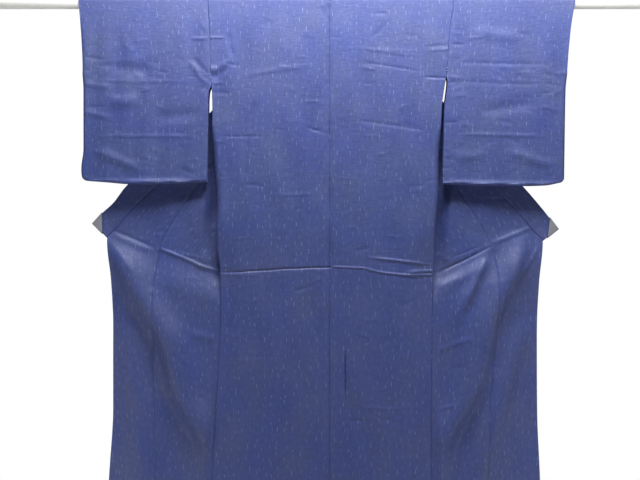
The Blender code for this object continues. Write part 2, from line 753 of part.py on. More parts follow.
def rod(finish):
    """A plain round rod with softly broken ends."""
    bm = bmesh.new()
    bmesh.ops.create_cone(
        bm, cap_ends=True, segments=ROD_SIDES, radius1=ROD_RADIUS, radius2=ROD_RADIUS, depth=ROD_LENGTH
    )
    bmesh.ops.rotate(bm, verts=bm.verts, cent=(0, 0, 0), matrix=turn_to_x())
    rims = [edge for edge in bm.edges if any(len(face.verts) > 4 for face in edge.link_faces)]
    bmesh.ops.bevel(
        bm, geom=rims, offset=ROD_BEVEL, affect="EDGES", segments=2, profile=0.5, material=-1
    )
    return add_object("rod", bm, finish)


def turn_to_x():
    """Rotation that lays the Z axis along X."""
    return Vector((0, 0, 1)).rotation_difference(Vector((1, 0, 0))).to_matrix()


def main():
    for obj in list(bpy.data.objects):
        bpy.data.objects.remove(obj, do_unlink=True)
    silk = material("Navy silk", (0.055, 0.075, 0.21), 0.5)
    wood = material("Painted rod", (0.78, 0.77, 0.72), 0.45)
    plastic = material("Grey clip", (0.30, 0.31, 0.34), 0.5)
    rod(wood)
    for side in (LEFT, RIGHT):
        back(side, silk)
        front(side, silk)
        sleeve(side, silk)
        overlap(side, silk)
        collar_side(side, silk)
        clip(side, plastic)
    collar_neck(silk)


main()
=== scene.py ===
"""Navy silk kimono hung over a display rod, back to the viewer, both fronts swung out to the sides.

Metres, +Z up. The garment's back faces -Y. Left is -X and right is +X, as on the wearer.
A drop is a distance down the cloth from the rod's top line, and a height is Z.
"""

import math
from collections import namedtuple

import bmesh
import bpy
import numpy as np
from mathutils import Matrix, Vector


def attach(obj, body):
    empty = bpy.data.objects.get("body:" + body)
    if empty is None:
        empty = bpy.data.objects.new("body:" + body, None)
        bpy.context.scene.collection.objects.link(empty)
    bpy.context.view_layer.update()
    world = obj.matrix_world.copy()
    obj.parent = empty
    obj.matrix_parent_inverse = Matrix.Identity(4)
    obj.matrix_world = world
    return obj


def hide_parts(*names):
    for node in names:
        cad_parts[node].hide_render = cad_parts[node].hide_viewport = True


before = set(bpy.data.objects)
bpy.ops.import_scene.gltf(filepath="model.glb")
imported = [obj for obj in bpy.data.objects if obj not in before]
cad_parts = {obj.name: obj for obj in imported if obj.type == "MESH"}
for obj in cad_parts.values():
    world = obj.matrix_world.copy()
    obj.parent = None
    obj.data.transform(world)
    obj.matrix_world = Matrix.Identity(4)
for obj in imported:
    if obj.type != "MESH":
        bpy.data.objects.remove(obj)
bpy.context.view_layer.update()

bl_info = {
    "name": "Kimono on a rod",
    "version": (1, 0, 0),
    "blender": (4, 5, 0),
    "location": "View3D > Sidebar > Kimono",
    "description": "Builds a hung silk kimono, its rod and corner clips, and a plain studio",
    "category": "Object",
}

BODY = "root"
MILLIMETRE = 0.001
TINY = 1e-12
LOOP_GAP = 1e-6


def table(kind, *rows):
    """Rows of plain numbers, each as one kind of row with named values."""
    return [kind(*row) for row in rows]


# Rod
ROD_RADIUS = 0.018
ROD_LENGTH = 1.84
ROD_SIDES = 96
ROD_BEVEL = 0.0015
ROD_BEVEL_STEPS = 4
ROD_SHARP = math.radians(40)

# Cloth walls of the frame and the gaps between its pieces
CLOTH = 0.0014
COLLAR_CLOTH = 0.0026
SEAM = 0.0004
REST = 0.0007

# Cloth path over the rod: middle of the wall, and a quarter turn of it
DRAPE = ROD_RADIUS + REST + CLOTH / 2
QUARTER = DRAPE * math.pi / 2
HEM_DROP = 1.59
SHOULDER_STEP = 0.0006

Row = namedtuple("Row", "at value")

# Waist crease, where the garment was folded for storage
WAIST_CREASE = 0.757
CREASE_HALF = 0.0056
CREASE_SHARPNESS = 1.6
CREASE_UNEVEN = 0.0006
CREASE_UNEVEN_LENGTH = 0.05
WAIST_REACH = 0.018

# Where the crease runs across the back, as a drop, and its share of the whole depth (a ridge below 0)
Waist = namedtuple("Waist", "x drop share")
WAIST_LINE = table(
    Waist,
    (-0.32, 0.766, 1.0), (-0.2835, 0.7632, 1.0), (-0.2025, 0.759, 1.0), (-0.1566, 0.7557, 1.0),
    (-0.0675, 0.7511, 0.9), (0.0, 0.7492, 0.9), (0.0081, 0.7484, -0.55), (0.0756, 0.7505, -0.6),
    (0.1458, 0.764, -0.75), (0.216, 0.77, -0.95), (0.32, 0.767, -0.95),
)

# Side edges, open below the armhole and then joined by a seam and rounded: heights below the rod, sizes
UNDERARM_OPEN_END = 0.33
UNDERARM_JOINED = 0.40
SIDE_ROUNDING = 0.9
SIDE_STRIP = 0.012
FRONT_RIM_POWER = 3.0

# Sides of the back that turn to the fronts below the waist: depth, width, heights, share of calmed creases
TURN_DEPTH = 0.0014
TURN_WIDTH = 0.040
TURN_STARTS = (0.60, 0.76)
TURN_CALM = 0.8

# Folded fronts close behind the body's side edge: their depth there, the slope's width, the hidden strip
NEAR_DEPTH = 0.0014
NEAR_WIDTH = 0.060
NEAR_HIDDEN = 0.012

# The same fronts behind the sleeves: depth, width, and the heights below the rod where these change
NEAR_SLEEVE_DEPTH = 0.0150
NEAR_SLEEVE_WIDTH = 0.260
NEAR_SLEEVE = (0.35, 0.47)
NEAR_STARTS = (0.488, 0.560)
NEAR_NARROWS = (0.62, 1.15)

# Fronts set further back down to the waist: how far, and the drops where this comes and goes
NEAR_DIP = 0.017
NEAR_DIPS = (0.48, 0.75)
NEAR_RISES = (0.77, 0.86)

# Strip beside the body that stays further back: its width, and the drops where it ends
NEAR_BESIDE = (0.010, 0.045)
NEAR_KNOT = (0.755, 0.815)

# Widths next to the side edge in which the fronts' hollows and crests die out
NEAR_CALM = 0.022
NEAR_CLEAR = 0.026

# Heights below the rod where the relief starts and is whole
RELIEF_STARTS = 0.02
RELIEF_WHOLE = 0.12

# Front: its fold behind the back panel, and where its relief starts
FOLD_FLAT_DROP = 0.10
FOLD_START_ANGLE = math.radians(20)
FOLD_START_RADIUS = 0.004
FOLD_BLEND = 0.02
NECK_LAPEL = 0.005
RELIEF_FROM_FOLD = (0.005, 0.05)
RELIEF_BELOW_NECK = (0.10, 0.16)
EDGE_TURN = 0.008
EDGE_TURN_DROPS = (0.82, 1.00)
SEAM_TO_EDGE_MIN = 0.001
PLAIN_FADE = 0.15

# Overlap panel and collar
POINT_DROP = 0.23
POINT_STEP = 0.01
COLLAR_END_DROP = 0.79
COLLAR_END_STEP = 0.012
COLLAR_WIDTH = 0.055
COLLAR_FLAT_DROP = 0.32
COLLAR_REST = 0.0013
COLLAR_LEAVES_ROD = -0.012
COLLAR_LEAN = 0.25
COLLAR_BULGE = 0.5
SEAM_AT_NECK = 0.0009
NECK_STAND = 0.006
NECK_MIX_FROM = 0.4
NECK_MIX_SHARE = 4

# Sleeve
SLEEVE_BOTTOM = -0.491
SLEEVE_ROUND = 0.0045
SLEEVE_CORNER = 0.014
SLEEVE_BOWS = (0.31, 0.45)
CUFF_SEWN = (0.19, 0.24)
SLEEVE_NARROWS = (0.25, 0.47)
SLEEVE_NARROWING = 0.35
SLEEVE_BACK_NARROWING = 0.08
CUFF_RIM = 0.007
SLIT_FADE = 0.01
ON_ROD = 0.999

# Corner clips
CLIP_PLATE = 0.0011
CLIP_RUN = 0.041
CLIP_OUT = 0.0032
CLIP_POCKET = 0.0020
CLIP_PLAY = 0.0007
CLIP_POCKET_END = 0.02
CLIP_SOFT_EDGE = 0.0004
CLIP_SEAT = 0.743
CLIP_SHARP = math.radians(35)
CLIP_SOFT_STEPS = 2

# Steps across each piece
LAPEL_COUNT = 62
FOLD_COUNT = 6
PLAIN_COUNT = 14
SIDE_COUNT = 6
BACK_COUNT = 50
OVERLAP_COUNT = 34
SLEEVE_COUNT = 66
CUFF_COUNT = 8
COLLAR_COUNT = 16

# Shares of the way round a side edge, from the plain sheet (1) to the side seam (0)
SIDE_SHARES = 1 - np.arange(SIDE_COUNT + 1)[None, :] / SIDE_COUNT

# Steps down each piece: above the waist, round it, below it, and near the hem
Steps = namedtuple("Steps", "above waist below low")
BACK_STEPS = Steps(315, 46, 235, 34)
FRONT_STEPS = Steps(205, 34, 150, 30)
LOW_DROP = 1.33
ROD_ROWS = 32
OVERLAP_ROWS = 300
SLEEVE_ROWS = 160
SLEEVE_TURN_ROWS = 10
COLLAR_ROWS = 250
NECK_ROWS = 26

# Edges of a panel that get narrower steps, as shares of its width
EDGE_SHARES = (0.0, 0.004, 0.010, 0.018)

# Extra narrow steps across the back, for an upright crease beside its centre seam
UPRIGHT_SHARES = (0.143, 0.1475, 0.152, 0.1565, 0.161, 0.1655, 0.170)

# Half depth of the hung cloth at a height: back panel, plain front, and the folded front behind them
Depth = namedtuple("Depth", "height back front folded")
DEPTHS = table(
    Depth,
    (0.0, 0.0194, 0.0194, 0.032), (-0.3, 0.019, 0.019, 0.0325), (-0.55, 0.0175, 0.0165, 0.0325),
    (-0.75, 0.0145, 0.011, 0.025), (-0.95, 0.0125, 0.007, 0.019), (-1.6, 0.0125, 0.007, 0.019),
)

# Back neckline, from the centre seam to the shoulder: distance along the cloth and half width
NECKLINE = table(Row, (-0.0255, 0.0), (-0.0225, 0.05), (-0.015, 0.074), (-0.0075, 0.083), (0.0, 0.086))

# One front, by drop below the shoulder: fold line, overlap seam (x, z), outer edge (x, z)
Front = namedtuple("Front", "drop fold seam_x seam_z edge_x edge_z")
LEFT_FRONT = table(
    Front,
    (0.0, -0.092, -0.092, 0.0194, -0.092, 0.0194), (0.1, -0.11, -0.14, -0.069, -0.14, -0.069),
    (0.23, -0.133, -0.202, -0.185, -0.202, -0.185), (0.37, -0.158, -0.252, -0.333, -0.285, -0.33),
    (0.5, -0.1945, -0.326, -0.443, -0.389, -0.425), (0.66, -0.2395, -0.417, -0.576, -0.52, -0.539),
    (0.757, -0.265, -0.463, -0.661, -0.588, -0.617), (0.79, -0.268, -0.47, -0.693, -0.609, -0.6395),
    (0.9, -0.268, -0.483, -0.802, -0.5985, -0.75), (1.05, -0.268, -0.4825, -0.952, -0.5925, -0.9),
    (1.25, -0.27, -0.478, -1.151, -0.5925, -1.098), (1.45, -0.274, -0.473, -1.351, -0.604, -1.296),
    (1.59, -0.276, -0.471, -1.491, -0.61, -1.436),
)
RIGHT_FRONT = table(
    Front,
    (0.0, 0.092, 0.092, 0.0194, 0.092, 0.0194), (0.1, 0.111, 0.14, -0.069, 0.14, -0.069),
    (0.23, 0.133, 0.2, -0.185, 0.2, -0.185), (0.37, 0.156, 0.25, -0.327, 0.283, -0.322),
    (0.5, 0.188, 0.311, -0.443, 0.376, -0.422), (0.66, 0.229, 0.396, -0.577, 0.492, -0.545),
    (0.757, 0.253, 0.443, -0.665, 0.562, -0.626), (0.79, 0.256, 0.452, -0.698, 0.582, -0.648),
    (0.9, 0.256, 0.4585, -0.808, 0.572, -0.758), (1.05, 0.25, 0.449, -0.957, 0.566, -0.908),
    (1.25, 0.242, 0.432, -1.157, 0.567, -1.108), (1.45, 0.242, 0.432, -1.357, 0.575, -1.308),
    (1.59, 0.244, 0.433, -1.497, 0.579, -1.448),
)

# Free edge of the collar by drop: x, z
Edge = namedtuple("Edge", "drop x z")
LEFT_COLLAR = table(
    Edge,
    (0.0, -0.088, 0.046), (0.1, -0.168, -0.054), (0.23, -0.245, -0.176), (0.37, -0.324, -0.291),
    (0.5, -0.426, -0.385), (0.66, -0.559, -0.499), (0.71, -0.593, -0.5435), (0.757, -0.627, -0.575),
    (0.79, -0.648, -0.6),
)
RIGHT_COLLAR = table(
    Edge,
    (0.0, 0.088, 0.046), (0.1, 0.166, -0.052), (0.23, 0.24, -0.169), (0.37, 0.323, -0.282),
    (0.5, 0.415, -0.377), (0.66, 0.533, -0.503), (0.757, 0.604, -0.588), (0.79, 0.624, -0.615),
)

# Side edge of the body by height
LEFT_SIDE = table(
    Row,
    (0.02, -0.3285), (0.0, -0.3285), (-0.06, -0.3262), (-0.12, -0.3235), (-0.18, -0.3222),
    (-0.225, -0.3212), (-0.245, -0.319), (-0.3, -0.3178), (-0.36, -0.3178), (-0.4, -0.3155),
    (-0.45, -0.3122), (-0.5, -0.307), (-0.545, -0.3052), (-0.61, -0.309), (-0.66, -0.307),
    (-0.73, -0.2975), (-0.85, -0.296), (-0.95, -0.3), (-1.25, -0.316), (-1.6, -0.32),
)
RIGHT_SIDE = table(
    Row,
    (0.02, 0.3335), (0.0, 0.3335), (-0.06, 0.3258), (-0.12, 0.3199), (-0.18, 0.316), (-0.2, 0.3147),
    (-0.215, 0.312), (-0.2535, 0.3058), (-0.28, 0.3026), (-0.335, 0.2997), (-0.389, 0.297),
    (-0.43, 0.2945), (-0.51, 0.294), (-0.575, 0.2889), (-0.64, 0.2835), (-0.73, 0.2805), (-0.85, 0.2765),
    (-0.95, 0.2755), (-1.25, 0.274), (-1.6, 0.276),
)

# Sleeve by height: edge beside the body, edge at the cuff
Sleeve = namedtuple("Sleeve", "height inner cuff")
LEFT_SLEEVE = table(
    Sleeve,
    (0.02, -0.3289, -0.683), (0.0, -0.3289, -0.6795), (-0.06, -0.3266, -0.674), (-0.12, -0.3239, -0.67),
    (-0.18, -0.3226, -0.668), (-0.225, -0.3217, -0.668), (-0.245, -0.3272, -0.668),
    (-0.27, -0.3289, -0.668), (-0.3, -0.329, -0.668), (-0.4, -0.331, -0.668), (-0.46, -0.332, -0.674),
    (-0.5, -0.333, -0.67),
)
RIGHT_SLEEVE = table(
    Sleeve,
    (0.02, 0.3339, 0.668), (0.0, 0.3339, 0.663), (-0.06, 0.3262, 0.652), (-0.12, 0.3203, 0.6455),
    (-0.18, 0.3164, 0.641), (-0.2, 0.3152, 0.64), (-0.215, 0.3178, 0.6392), (-0.2535, 0.314, 0.638),
    (-0.28, 0.31, 0.6374), (-0.5, 0.305, 0.6345),
)

# Where the seam between body and sleeve ends, as a height below the rod
LEFT_SLIT = 0.228
RIGHT_SLIT = 0.203

# Lowest line of the sleeve, by the share of the way from the body (0) to the cuff (1)
LEFT_HEM = table(Row, (0.0, -0.488), (0.45, -0.4935), (0.66, -0.493), (0.82, -0.489), (1.0, -0.4845))
RIGHT_HEM = table(Row, (0.0, -0.4935), (0.5, -0.498), (0.72, -0.4985), (0.88, -0.497), (1.0, -0.49))

# Largest soft folds: ends of a line (x, z), how wide, and how far it stands out towards the viewer
Fold = namedtuple("Fold", "x0 z0 x1 z1 width height")
LEFT_FOLDS = table(
    Fold,
    (-0.51, -0.84, -0.465, -1.01, 0.026, -0.007), (-0.465, -1.01, -0.35, -1.23, 0.026, -0.006),
    (-0.4, -0.9, -0.365, -1.02, 0.03, 0.005), (-0.545, -0.9, -0.5, -1.08, 0.028, 0.006),
    (-0.5, -1.08, -0.43, -1.3, 0.03, 0.006), (-0.35, -1.35, -0.34, -1.56, 0.026, 0.005),
)
RIGHT_FOLDS = table(
    Fold,
    (0.54, -0.69, 0.475, -0.85, 0.026, 0.006), (0.52, -0.76, 0.44, -0.97, 0.026, -0.006),
    (0.44, -0.97, 0.345, -1.2, 0.028, -0.006), (0.37, -0.88, 0.345, -1.02, 0.028, 0.0045),
    (0.5, -1.02, 0.44, -1.3, 0.03, 0.006), (0.35, -1.38, 0.34, -1.56, 0.026, 0.005),
)
BACK_FOLDS = table(
    Fold,
    (-0.16, -0.25, -0.14, -0.6, 0.06, 0.0015), (0.15, -0.3, 0.12, -0.64, 0.06, 0.0015),
    (-0.15, -0.85, -0.17, -1.5, 0.05, 0.0018), (0.13, -0.85, 0.15, -1.5, 0.05, 0.0018),
    (0.038, -0.93, 0.036, -1.075, 0.012, -0.003),
)

# Long soft folds of the fronts: height and the place of the crest there, and how far it stands out
Crest = namedtuple("Crest", "z x height")
Ridge = namedtuple("Ridge", "outer inner crests")
LEFT_RIDGES = [
    Ridge(0.029, 0.058, table(
        Crest,
        (-0.63, -0.6, 0.0), (-0.722, -0.56, 0.0236), (-0.807, -0.514, 0.0281), (-0.851, -0.488, 0.0296),
        (-0.914, -0.451, 0.0281), (-0.958, -0.435, 0.0267), (-1.054, -0.413, 0.0281),
        (-1.12, -0.38, 0.0281), (-1.172, -0.35, 0.0236), (-1.25, -0.318, 0.0119), (-1.4, -0.3, 0.0),
    )),
    Ridge(0.034, 0.04, table(
        Crest,
        (-0.86, -0.56, 0.0), (-1.0, -0.545, 0.0119), (-1.2, -0.52, 0.0158), (-1.45, -0.5, 0.0198),
        (-1.59, -0.495, 0.0198),
    )),
]
RIGHT_RIDGES = [
    Ridge(0.028, 0.05, table(
        Crest,
        (-0.62, 0.53, 0.0), (-0.722, 0.503, 0.0236), (-0.796, 0.47, 0.0267), (-0.859, 0.443, 0.0267),
        (-0.933, 0.426, 0.0267), (-1.007, 0.41, 0.0281), (-1.089, 0.372, 0.0281), (-1.171, 0.325, 0.0236),
        (-1.24, 0.3, 0.0134), (-1.4, 0.28, 0.0),
    )),
    Ridge(0.014, 0.02, table(
        Crest,
        (-0.64, 0.44, 0.0), (-0.725, 0.412, 0.0076), (-0.8, 0.375, 0.0083), (-0.88, 0.34, 0.0),
    )),
    Ridge(0.029, 0.044, table(
        Crest,
        (-0.85, 0.543, 0.0), (-0.946, 0.507, 0.0141), (-1.083, 0.466, 0.0205), (-1.275, 0.411, 0.0205),
        (-1.44, 0.37, 0.015), (-1.59, 0.355, 0.0095),
    )),
]

# Creases are charted on a square grid: its step on the back and on the fronts, and the place of one spot
BACK_GRID = 0.0027
FRONT_GRID = 0.00274
GRID_SPOT = (320, 240)
GRID_PLACE = (-0.027, -0.645)
CREASE_ENDS = 0.3
CREASE_LIFT = 1.7 * MILLIMETRE
FOLD_LIFT = 0.35

# A crease: its ends and how wide it is, in steps of the grid, its height, and how far its middle bows
Crease = namedtuple("Crease", "x0 y0 x1 y1 width height bow", defaults=(0.0,))
BACK_CREASES = table(
    Crease,
    (236, 77, 317, 65, 2.6, 0.6, -1.0), (257, 98, 247, 138, 1.7, -2.4, 1.0),
    (248, 126, 243, 184, 1.8, -2.4), (217, 136, 268, 136, 1.3, -0.6, 0.5), (213, 141, 224, 142, 1.4, 0.6),
    (303, 126, 329, 135, 1.6, -0.55), (243, 184, 267, 187, 1.5, -0.45),
    (272, 195, 315, 193, 1.6, 0.5, 0.8), (210, 37.6, 225, 37.6, 1.1, 1.1),
    (229, 30, 234, 60, 1.5, -2.0, 1.5), (231, 59, 209, 77, 2.6, 1.7, 0.5), (228, 67, 210, 83, 2.4, -1.0),
    (213, 92, 232, 94, 2.2, -0.6), (214, 84, 224, 82, 1.5, 0.6), (319, 5, 329, 22, 1.8, -0.9),
    (357, 62, 424, 73, 1.3, -0.65, -1.0), (360, 48, 424, 56, 1.4, 0.4, 1.0),
    (423, 77, 443, 78, 1.1, -1.1), (370, 39, 391, 18, 1.5, -0.8, 1.0), (372, 13, 388, 14, 1.8, -0.6),
    (423, 36, 421, 60, 1.2, -0.6), (424, 47, 446, 45, 1.4, -0.55), (428, 51, 446, 49, 1.3, 0.55),
    (348, 120, 434, 133, 1.6, -0.6, -1.5), (352, 47, 425, 51, 1.6, 0.4, 1.5),
    (405, 187, 428, 185, 1.5, -0.4), (362, 257, 438, 266, 1.15, 1.7, -0.6),
    (404, 273, 441, 270, 2.0, 1.9), (218, 274, 262, 275, 1.6, 0.55, 0.8), (217, 282, 228, 279, 1.3, 0.6),
    (214, 261, 230, 268, 1.3, 0.6), (218, 327, 246, 329, 1.3, -0.3), (214, 338, 234, 342, 2.2, -0.7),
    (226, 356, 285, 355, 1.7, -0.28, 1.6), (226, 397, 262, 401, 1.7, -0.28, 0.5),
    (350, 403, 428, 404, 1.9, 0.65, 6.0), (345.2, 345, 345.6, 405, 0.9, -3.0),
    (408, 438, 415, 450, 1.1, -0.8), (236, 455, 241, 482, 1.4, -0.6), (409, 458, 410, 484, 1.5, -0.5),
    (262, 330, 256, 398, 3.2, 0.55, 1.0), (395, 300, 400, 372, 3.4, 0.45, -1.0),
    (300, 520, 296, 556, 2.4, -0.6), (362, 508, 366, 560, 2.4, 0.55, 1.0),
)
LEFT_CREASES = table(
    Crease,
    (104, 226, 160, 250, 1.5, -1.6), (106, 231, 158, 254, 3.0, 1.3), (152, 246, 208, 269, 1.8, 1.9, -1.0),
    (190, 262, 232, 275, 2.0, 2.2, 0.5), (114, 244, 136, 274, 3.0, 1.2), (196, 256, 224, 264, 7.0, 1.6),
    (176, 252, 206, 259, 1.5, 0.5), (186, 260, 185, 288, 1.1, -0.9, 0.5),
    (186, 283, 171, 320, 1.1, -1.3, 0.5), (154, 256, 152, 298, 1.5, -0.9),
    (192, 208, 197, 240, 2.0, 0.7, 1.0), (188, 332, 222, 340, 4.0, 1.6),
    (137, 330, 143, 420, 1.9, -0.6, 1.0), (196, 372, 199, 466, 2.2, 0.55),
    (207, 446, 208, 474, 1.1, -0.9), (118, 420, 121, 500, 2.6, 0.55),
)
RIGHT_CREASES = table(
    Crease,
    (486, 246, 541, 223, 1.7, 2.2), (430, 276, 495, 244, 1.5, -1.9, 0.5), (426, 296, 498, 257, 6.5, 3.6),
    (432, 288, 462, 276, 3.0, 0.9), (448, 259, 480, 246, 1.3, -0.6), (452, 264, 486, 249, 1.1, 0.4),
    (470, 199, 522, 199, 1.5, -0.6, 0.5), (528, 224, 534, 228, 1.2, -0.8),
    (541, 241, 517, 279, 1.8, 1.0, -1.0), (535, 252, 521, 276, 1.4, 0.6),
    (486, 256, 462, 312, 4.2, 2.4, 1.0), (430, 352, 474, 336, 3.0, 1.3), (494, 252, 496, 300, 1.3, -0.8),
    (434, 408, 464, 402, 1.2, 0.9), (446, 380, 451, 462, 1.9, -0.55), (438, 442, 444, 456, 1.1, -0.9),
)
LEFT_SLEEVE_CREASES = table(
    Crease,
    (194, 15, 209, 34, 1.4, 0.9), (196, 22, 208, 37, 1.2, -0.7), (190, 38.5, 209, 38.5, 1.2, 1.2),
    (187, 58, 209, 86, 1.6, 1.9, 0.5), (193, 56, 209, 76, 1.4, -1.5, 0.5), (197, 70, 207, 82, 1.4, -1.3),
    (200, 88, 209, 89, 2.0, -0.9), (82, 56, 108, 61, 1.6, -0.6), (84, 80, 196, 81, 1.7, 0.4, 0.8),
    (90, 137, 204, 137, 1.6, 0.75, -1.0), (84, 180, 150, 181.5, 2.1, 1.2, 0.6),
    (118, 182, 202, 181.5, 3.0, 2.6, 0.4), (120, 20, 150, 100, 4.0, 0.6, 3.0),
    (110, 68, 154, 71, 6.0, -2.0), (104, 101, 142, 98, 6.0, 2.2, 2.0), (90, 148, 146, 172, 5.0, 2.2),
    (80, 83, 114, 88, 3.0, 1.3), (80, 111, 112, 118, 3.0, 1.2), (150, 118, 204, 112, 6.0, -1.6, 1.0),
)
RIGHT_SLEEVE_CREASES = table(
    Crease,
    (452, 62, 556, 64, 1.7, -0.6, 0.8), (450, 134, 552, 137, 1.5, 0.8, -0.6),
    (447, 80, 552, 84, 1.8, -0.55, 1.5), (450, 44, 466, 45, 1.2, -0.9), (448, 83, 458, 82, 1.3, -0.8),
    (448, 77, 462, 78, 1.6, 0.8), (446, 105, 454, 124, 1.4, 0.8), (447, 30, 462, 36, 1.4, 0.5),
    (505, 20, 492, 98, 4.0, 0.6, 2.0), (466, 30, 524, 38, 6.0, 1.7), (476, 112, 542, 102, 6.0, -1.8),
    (502, 150, 560, 168, 5.0, 2.0), (452, 158, 490, 154, 5.0, 1.5), (523, 15, 524, 136, 1.6, -0.45),
    (438, 183, 520, 184, 2.8, 2.3, 0.4), (498, 184, 564, 184, 2.2, 1.5),
)

# Parts of the chart that get wrinkles: two of the back by their edges, and one of each front and sleeve
Window = namedtuple("Window", "seed left top right bottom")
BACK_WINDOWS = table(Window, (50, 214, 15, 440, 290), (51, 214, 280, 440, 560))
SideWindow = namedtuple("SideWindow", "seed out half top bottom")
FRONT_WINDOW = SideWindow(60, 170, 70, 190, 560)
SLEEVE_WINDOW = SideWindow(70, 180, 60, 5, 180)

# Small wrinkles scattered over a piece, by chance: how many, and their usual length, width and height
WRINKLE_COUNT = 110
WRINKLE_LENGTH = (6.0, 22.0)
WRINKLE_WIDTH = (1.1, 2.4)
WRINKLE_HEIGHT = 0.34
WRINKLE_SLANT = 0.4
WRINKLE_BOW = 0.8

# Gentle unevenness all over a piece: how many waves, how long, how high, how slanted, how drawn out
WAVE_COUNT = 7
WAVE_LENGTH = 0.075
WAVE_SPREAD = (0.7, 1.8)
WAVE_HEIGHT = 0.0011
WAVE_SLANT = 0.35
WAVE_STRETCH = 0.3
WAVE_DRIFT = 0.5

# Seeds of the waves and puckers; where each side has its own, the side's sign is added
BACK_SEED = 3
CREASE_SEED = 5
CENTRE_SEED = 7
WAVER_SEED = 8
FOLDED_SEED = 11
LAPEL_SEED = 21
PLAIN_SEED = 31
SLEEVE_SEED = 41
ARMHOLE_SEED = 51

# Seams draw the cloth in: how deep and wide, how much more left of the centre seam, and their puckers
SEAM_DEPTH = 0.0014
SEAM_WIDTH = 0.0042
SEAM_STEP = 1.9
SEAM_STEP_WIDTH = 1.8
PUCKER_LENGTH = 0.021
PUCKER_SHARE = 0.08

# Unsteady depth of the cloth close to the back's centre seam: how much and how long
WAVER_HEIGHT = 0.0012
WAVER_LENGTH = 0.16

# Strip of a panel that goes on behind its neighbour: how far, how deep, and its own shape
TUCK_REACH = 0.0045
TUCK_NONE = 0.0004
TUCK_DEPTH = 0.0017
TUCK_COLLAR_DEPTH = 0.0018
TUCK_RIM = 0.4
TUCK_STARTS = 0.005
TUCK_SLIT_FADE = 0.006
Tuck = namedtuple("Tuck", "far deep")
TUCKS = table(Tuck, (1.0, 1.0), (0.55, 1.0), (0.18, 0.9))
TUCK_COUNT = len(TUCKS)

# Place of each piece's cloth on the pattern, in metres, and the step from one side's cloth to the other's
CHART_STEP = 2.0
BODY_CHART = (4.0, 3.0)
OVERLAP_CHART = (4.5, 9.0)
SLEEVE_CHART = (4.2, 15.0)
COLLAR_CHART = (7.0, 20.0)

# Woven dashes: size of the cell that holds one, its half width and half length
DASH_CELL = (0.0205, 0.0240)
DASH_HALF_WIDTH = 0.0009
DASH_HALF_LENGTH = (0.0040, 0.0082)
DASH_RANDOMNESS = 0.72
DASH_LEAN = 0.16
DASH_SIDES = (0.45, 1.1)
DASH_END = 0.6
DASH_BRIGHT_POWER = 1.4
DASH_DIMMEST = 0.25
DASH_COVER = 0.6

# Weave: each noise by its repeats for a metre, across and along the warp, and its detail
Noise = namedtuple("Noise", "across along detail")
NOISES = {
    "warp": Noise(700.0, 16.0, 2.0),
    "weft": Noise(60.0, 900.0, 2.0),
    "broad": Noise(14.0, 5.0, 3.0),
    "fine": Noise(2600.0, 2600.0, 1.0),
    "blotch": Noise(95.0, 75.0, 2.0),
    "wrinkle": Noise(60.0, 190.0, 2.0),
    # The grey noise places the random patches of painted sheen
    "grey": Noise(9.0, 7.8, 3.0),
}
NOISE_RANGE = (0.25, 0.75)
TONE_SHARES = {"warp": 0.14, "weft": 0.05, "broad": 0.09, "blotch": 0.20}
DARKEST_TONE = 0.78
HEIGHT_SHARES = {"warp": 0.8, "weft": 0.5, "wrinkle": 1.4, "fine": 0.25}

# Surface of the silk: its roughness and what the threads add to it, the bump, and the sheen
SILK_ROUGHNESS = 0.43
THREAD_ROUGHNESS = 0.10
SILK_BUMP = {"Strength": 0.5, "Distance": 0.0003}
SHEEN = {"Sheen Weight": 0.03, "Sheen Roughness": 0.4, "Sheen Tint": (0.75, 0.82, 1.0, 1.0)}
SILK_SPECULAR = 0.6

# Grain of paint, plastic and thread: its two noises, their share in tone and roughness, and the bump
SMALL_GRAIN = {"Scale": 450.0, "Detail": 3.0}
WIDE_GRAIN = {"Scale": 22.0}
GRAIN_TONE = (0.12, 0.94)
GRAIN_ROUGHNESS = 0.1
GRAIN_BUMP = {"Strength": 0.25, "Distance": 0.0002}

# Plain finishes: roughness, the colour of the thread, and how the grain is drawn out
CLIP_ROUGHNESS = 0.45
PAINT_ROUGHNESS = 0.38
THREAD_FINISH = ((0.42, 0.46, 0.62), 0.6)
EVEN_GRAIN = (1.0, 1.0, 1.0)
DRAWN_GRAIN = (0.06, 1.0, 1.0)

# Bar tacks at the open ends of the sleeve seams
TACK_RADIUS = 0.0005
TACK_LENGTH = 0.0030
TACK_TOP = -0.1790
TACK_STEP = 0.0088
TACK_LEAN = 0.12
TACK_SIDES = 8

# Camera, lights and floor
CAMERA_PLACE = (-0.027, -3.4, -0.645)
CAMERA_LENS = 70.45
CAMERA_SENSOR = 36.0
FLOOR_HEIGHT = -1.75
FLOOR_HALF = (4.0, 2.6)
FLOOR_MIDDLE_Y = -0.5
FLOOR_GLOW = 0.45
FLOOR_ROUGHNESS = 0.8
WHITE = (1.0, 1.0, 1.0, 1.0)

# Lamps: which power of the light settings, size, place and the spot that it faces
Lamp = namedtuple("Lamp", "name power size place aim")
LAMPS = [
    Lamp("Strip lamp", "strip", (1.6, 0.2), (0.10, -0.42, 0.24), (0.10, 0.0, -0.10)),
    Lamp("Key lamp", "key", (1.2, 0.8), (0.15, -1.2, 2.05), (0.0, 0.0, -0.75)),
    Lamp("Rear lamp", "rear", (2.4, 1.0), (-0.5, 2.6, 1.7), (0.0, 0.0, -0.7)),
    Lamp("Left lamp", "side", (0.3, 1.0), (-1.10, -0.45, -1.20), (-0.50, 0.0, -1.10)),
    Lamp("Right lamp", "side", (0.3, 1.0), (1.10, -0.45, -1.20), (0.50, 0.0, -1.10)),
]


def ease(value, low, high):
    """0 below low, 1 above high, and a smooth step between them."""
    part = np.clip((value - low) / (high - low), 0.0, 1.0)
    return part * part * (3 - 2 * part)


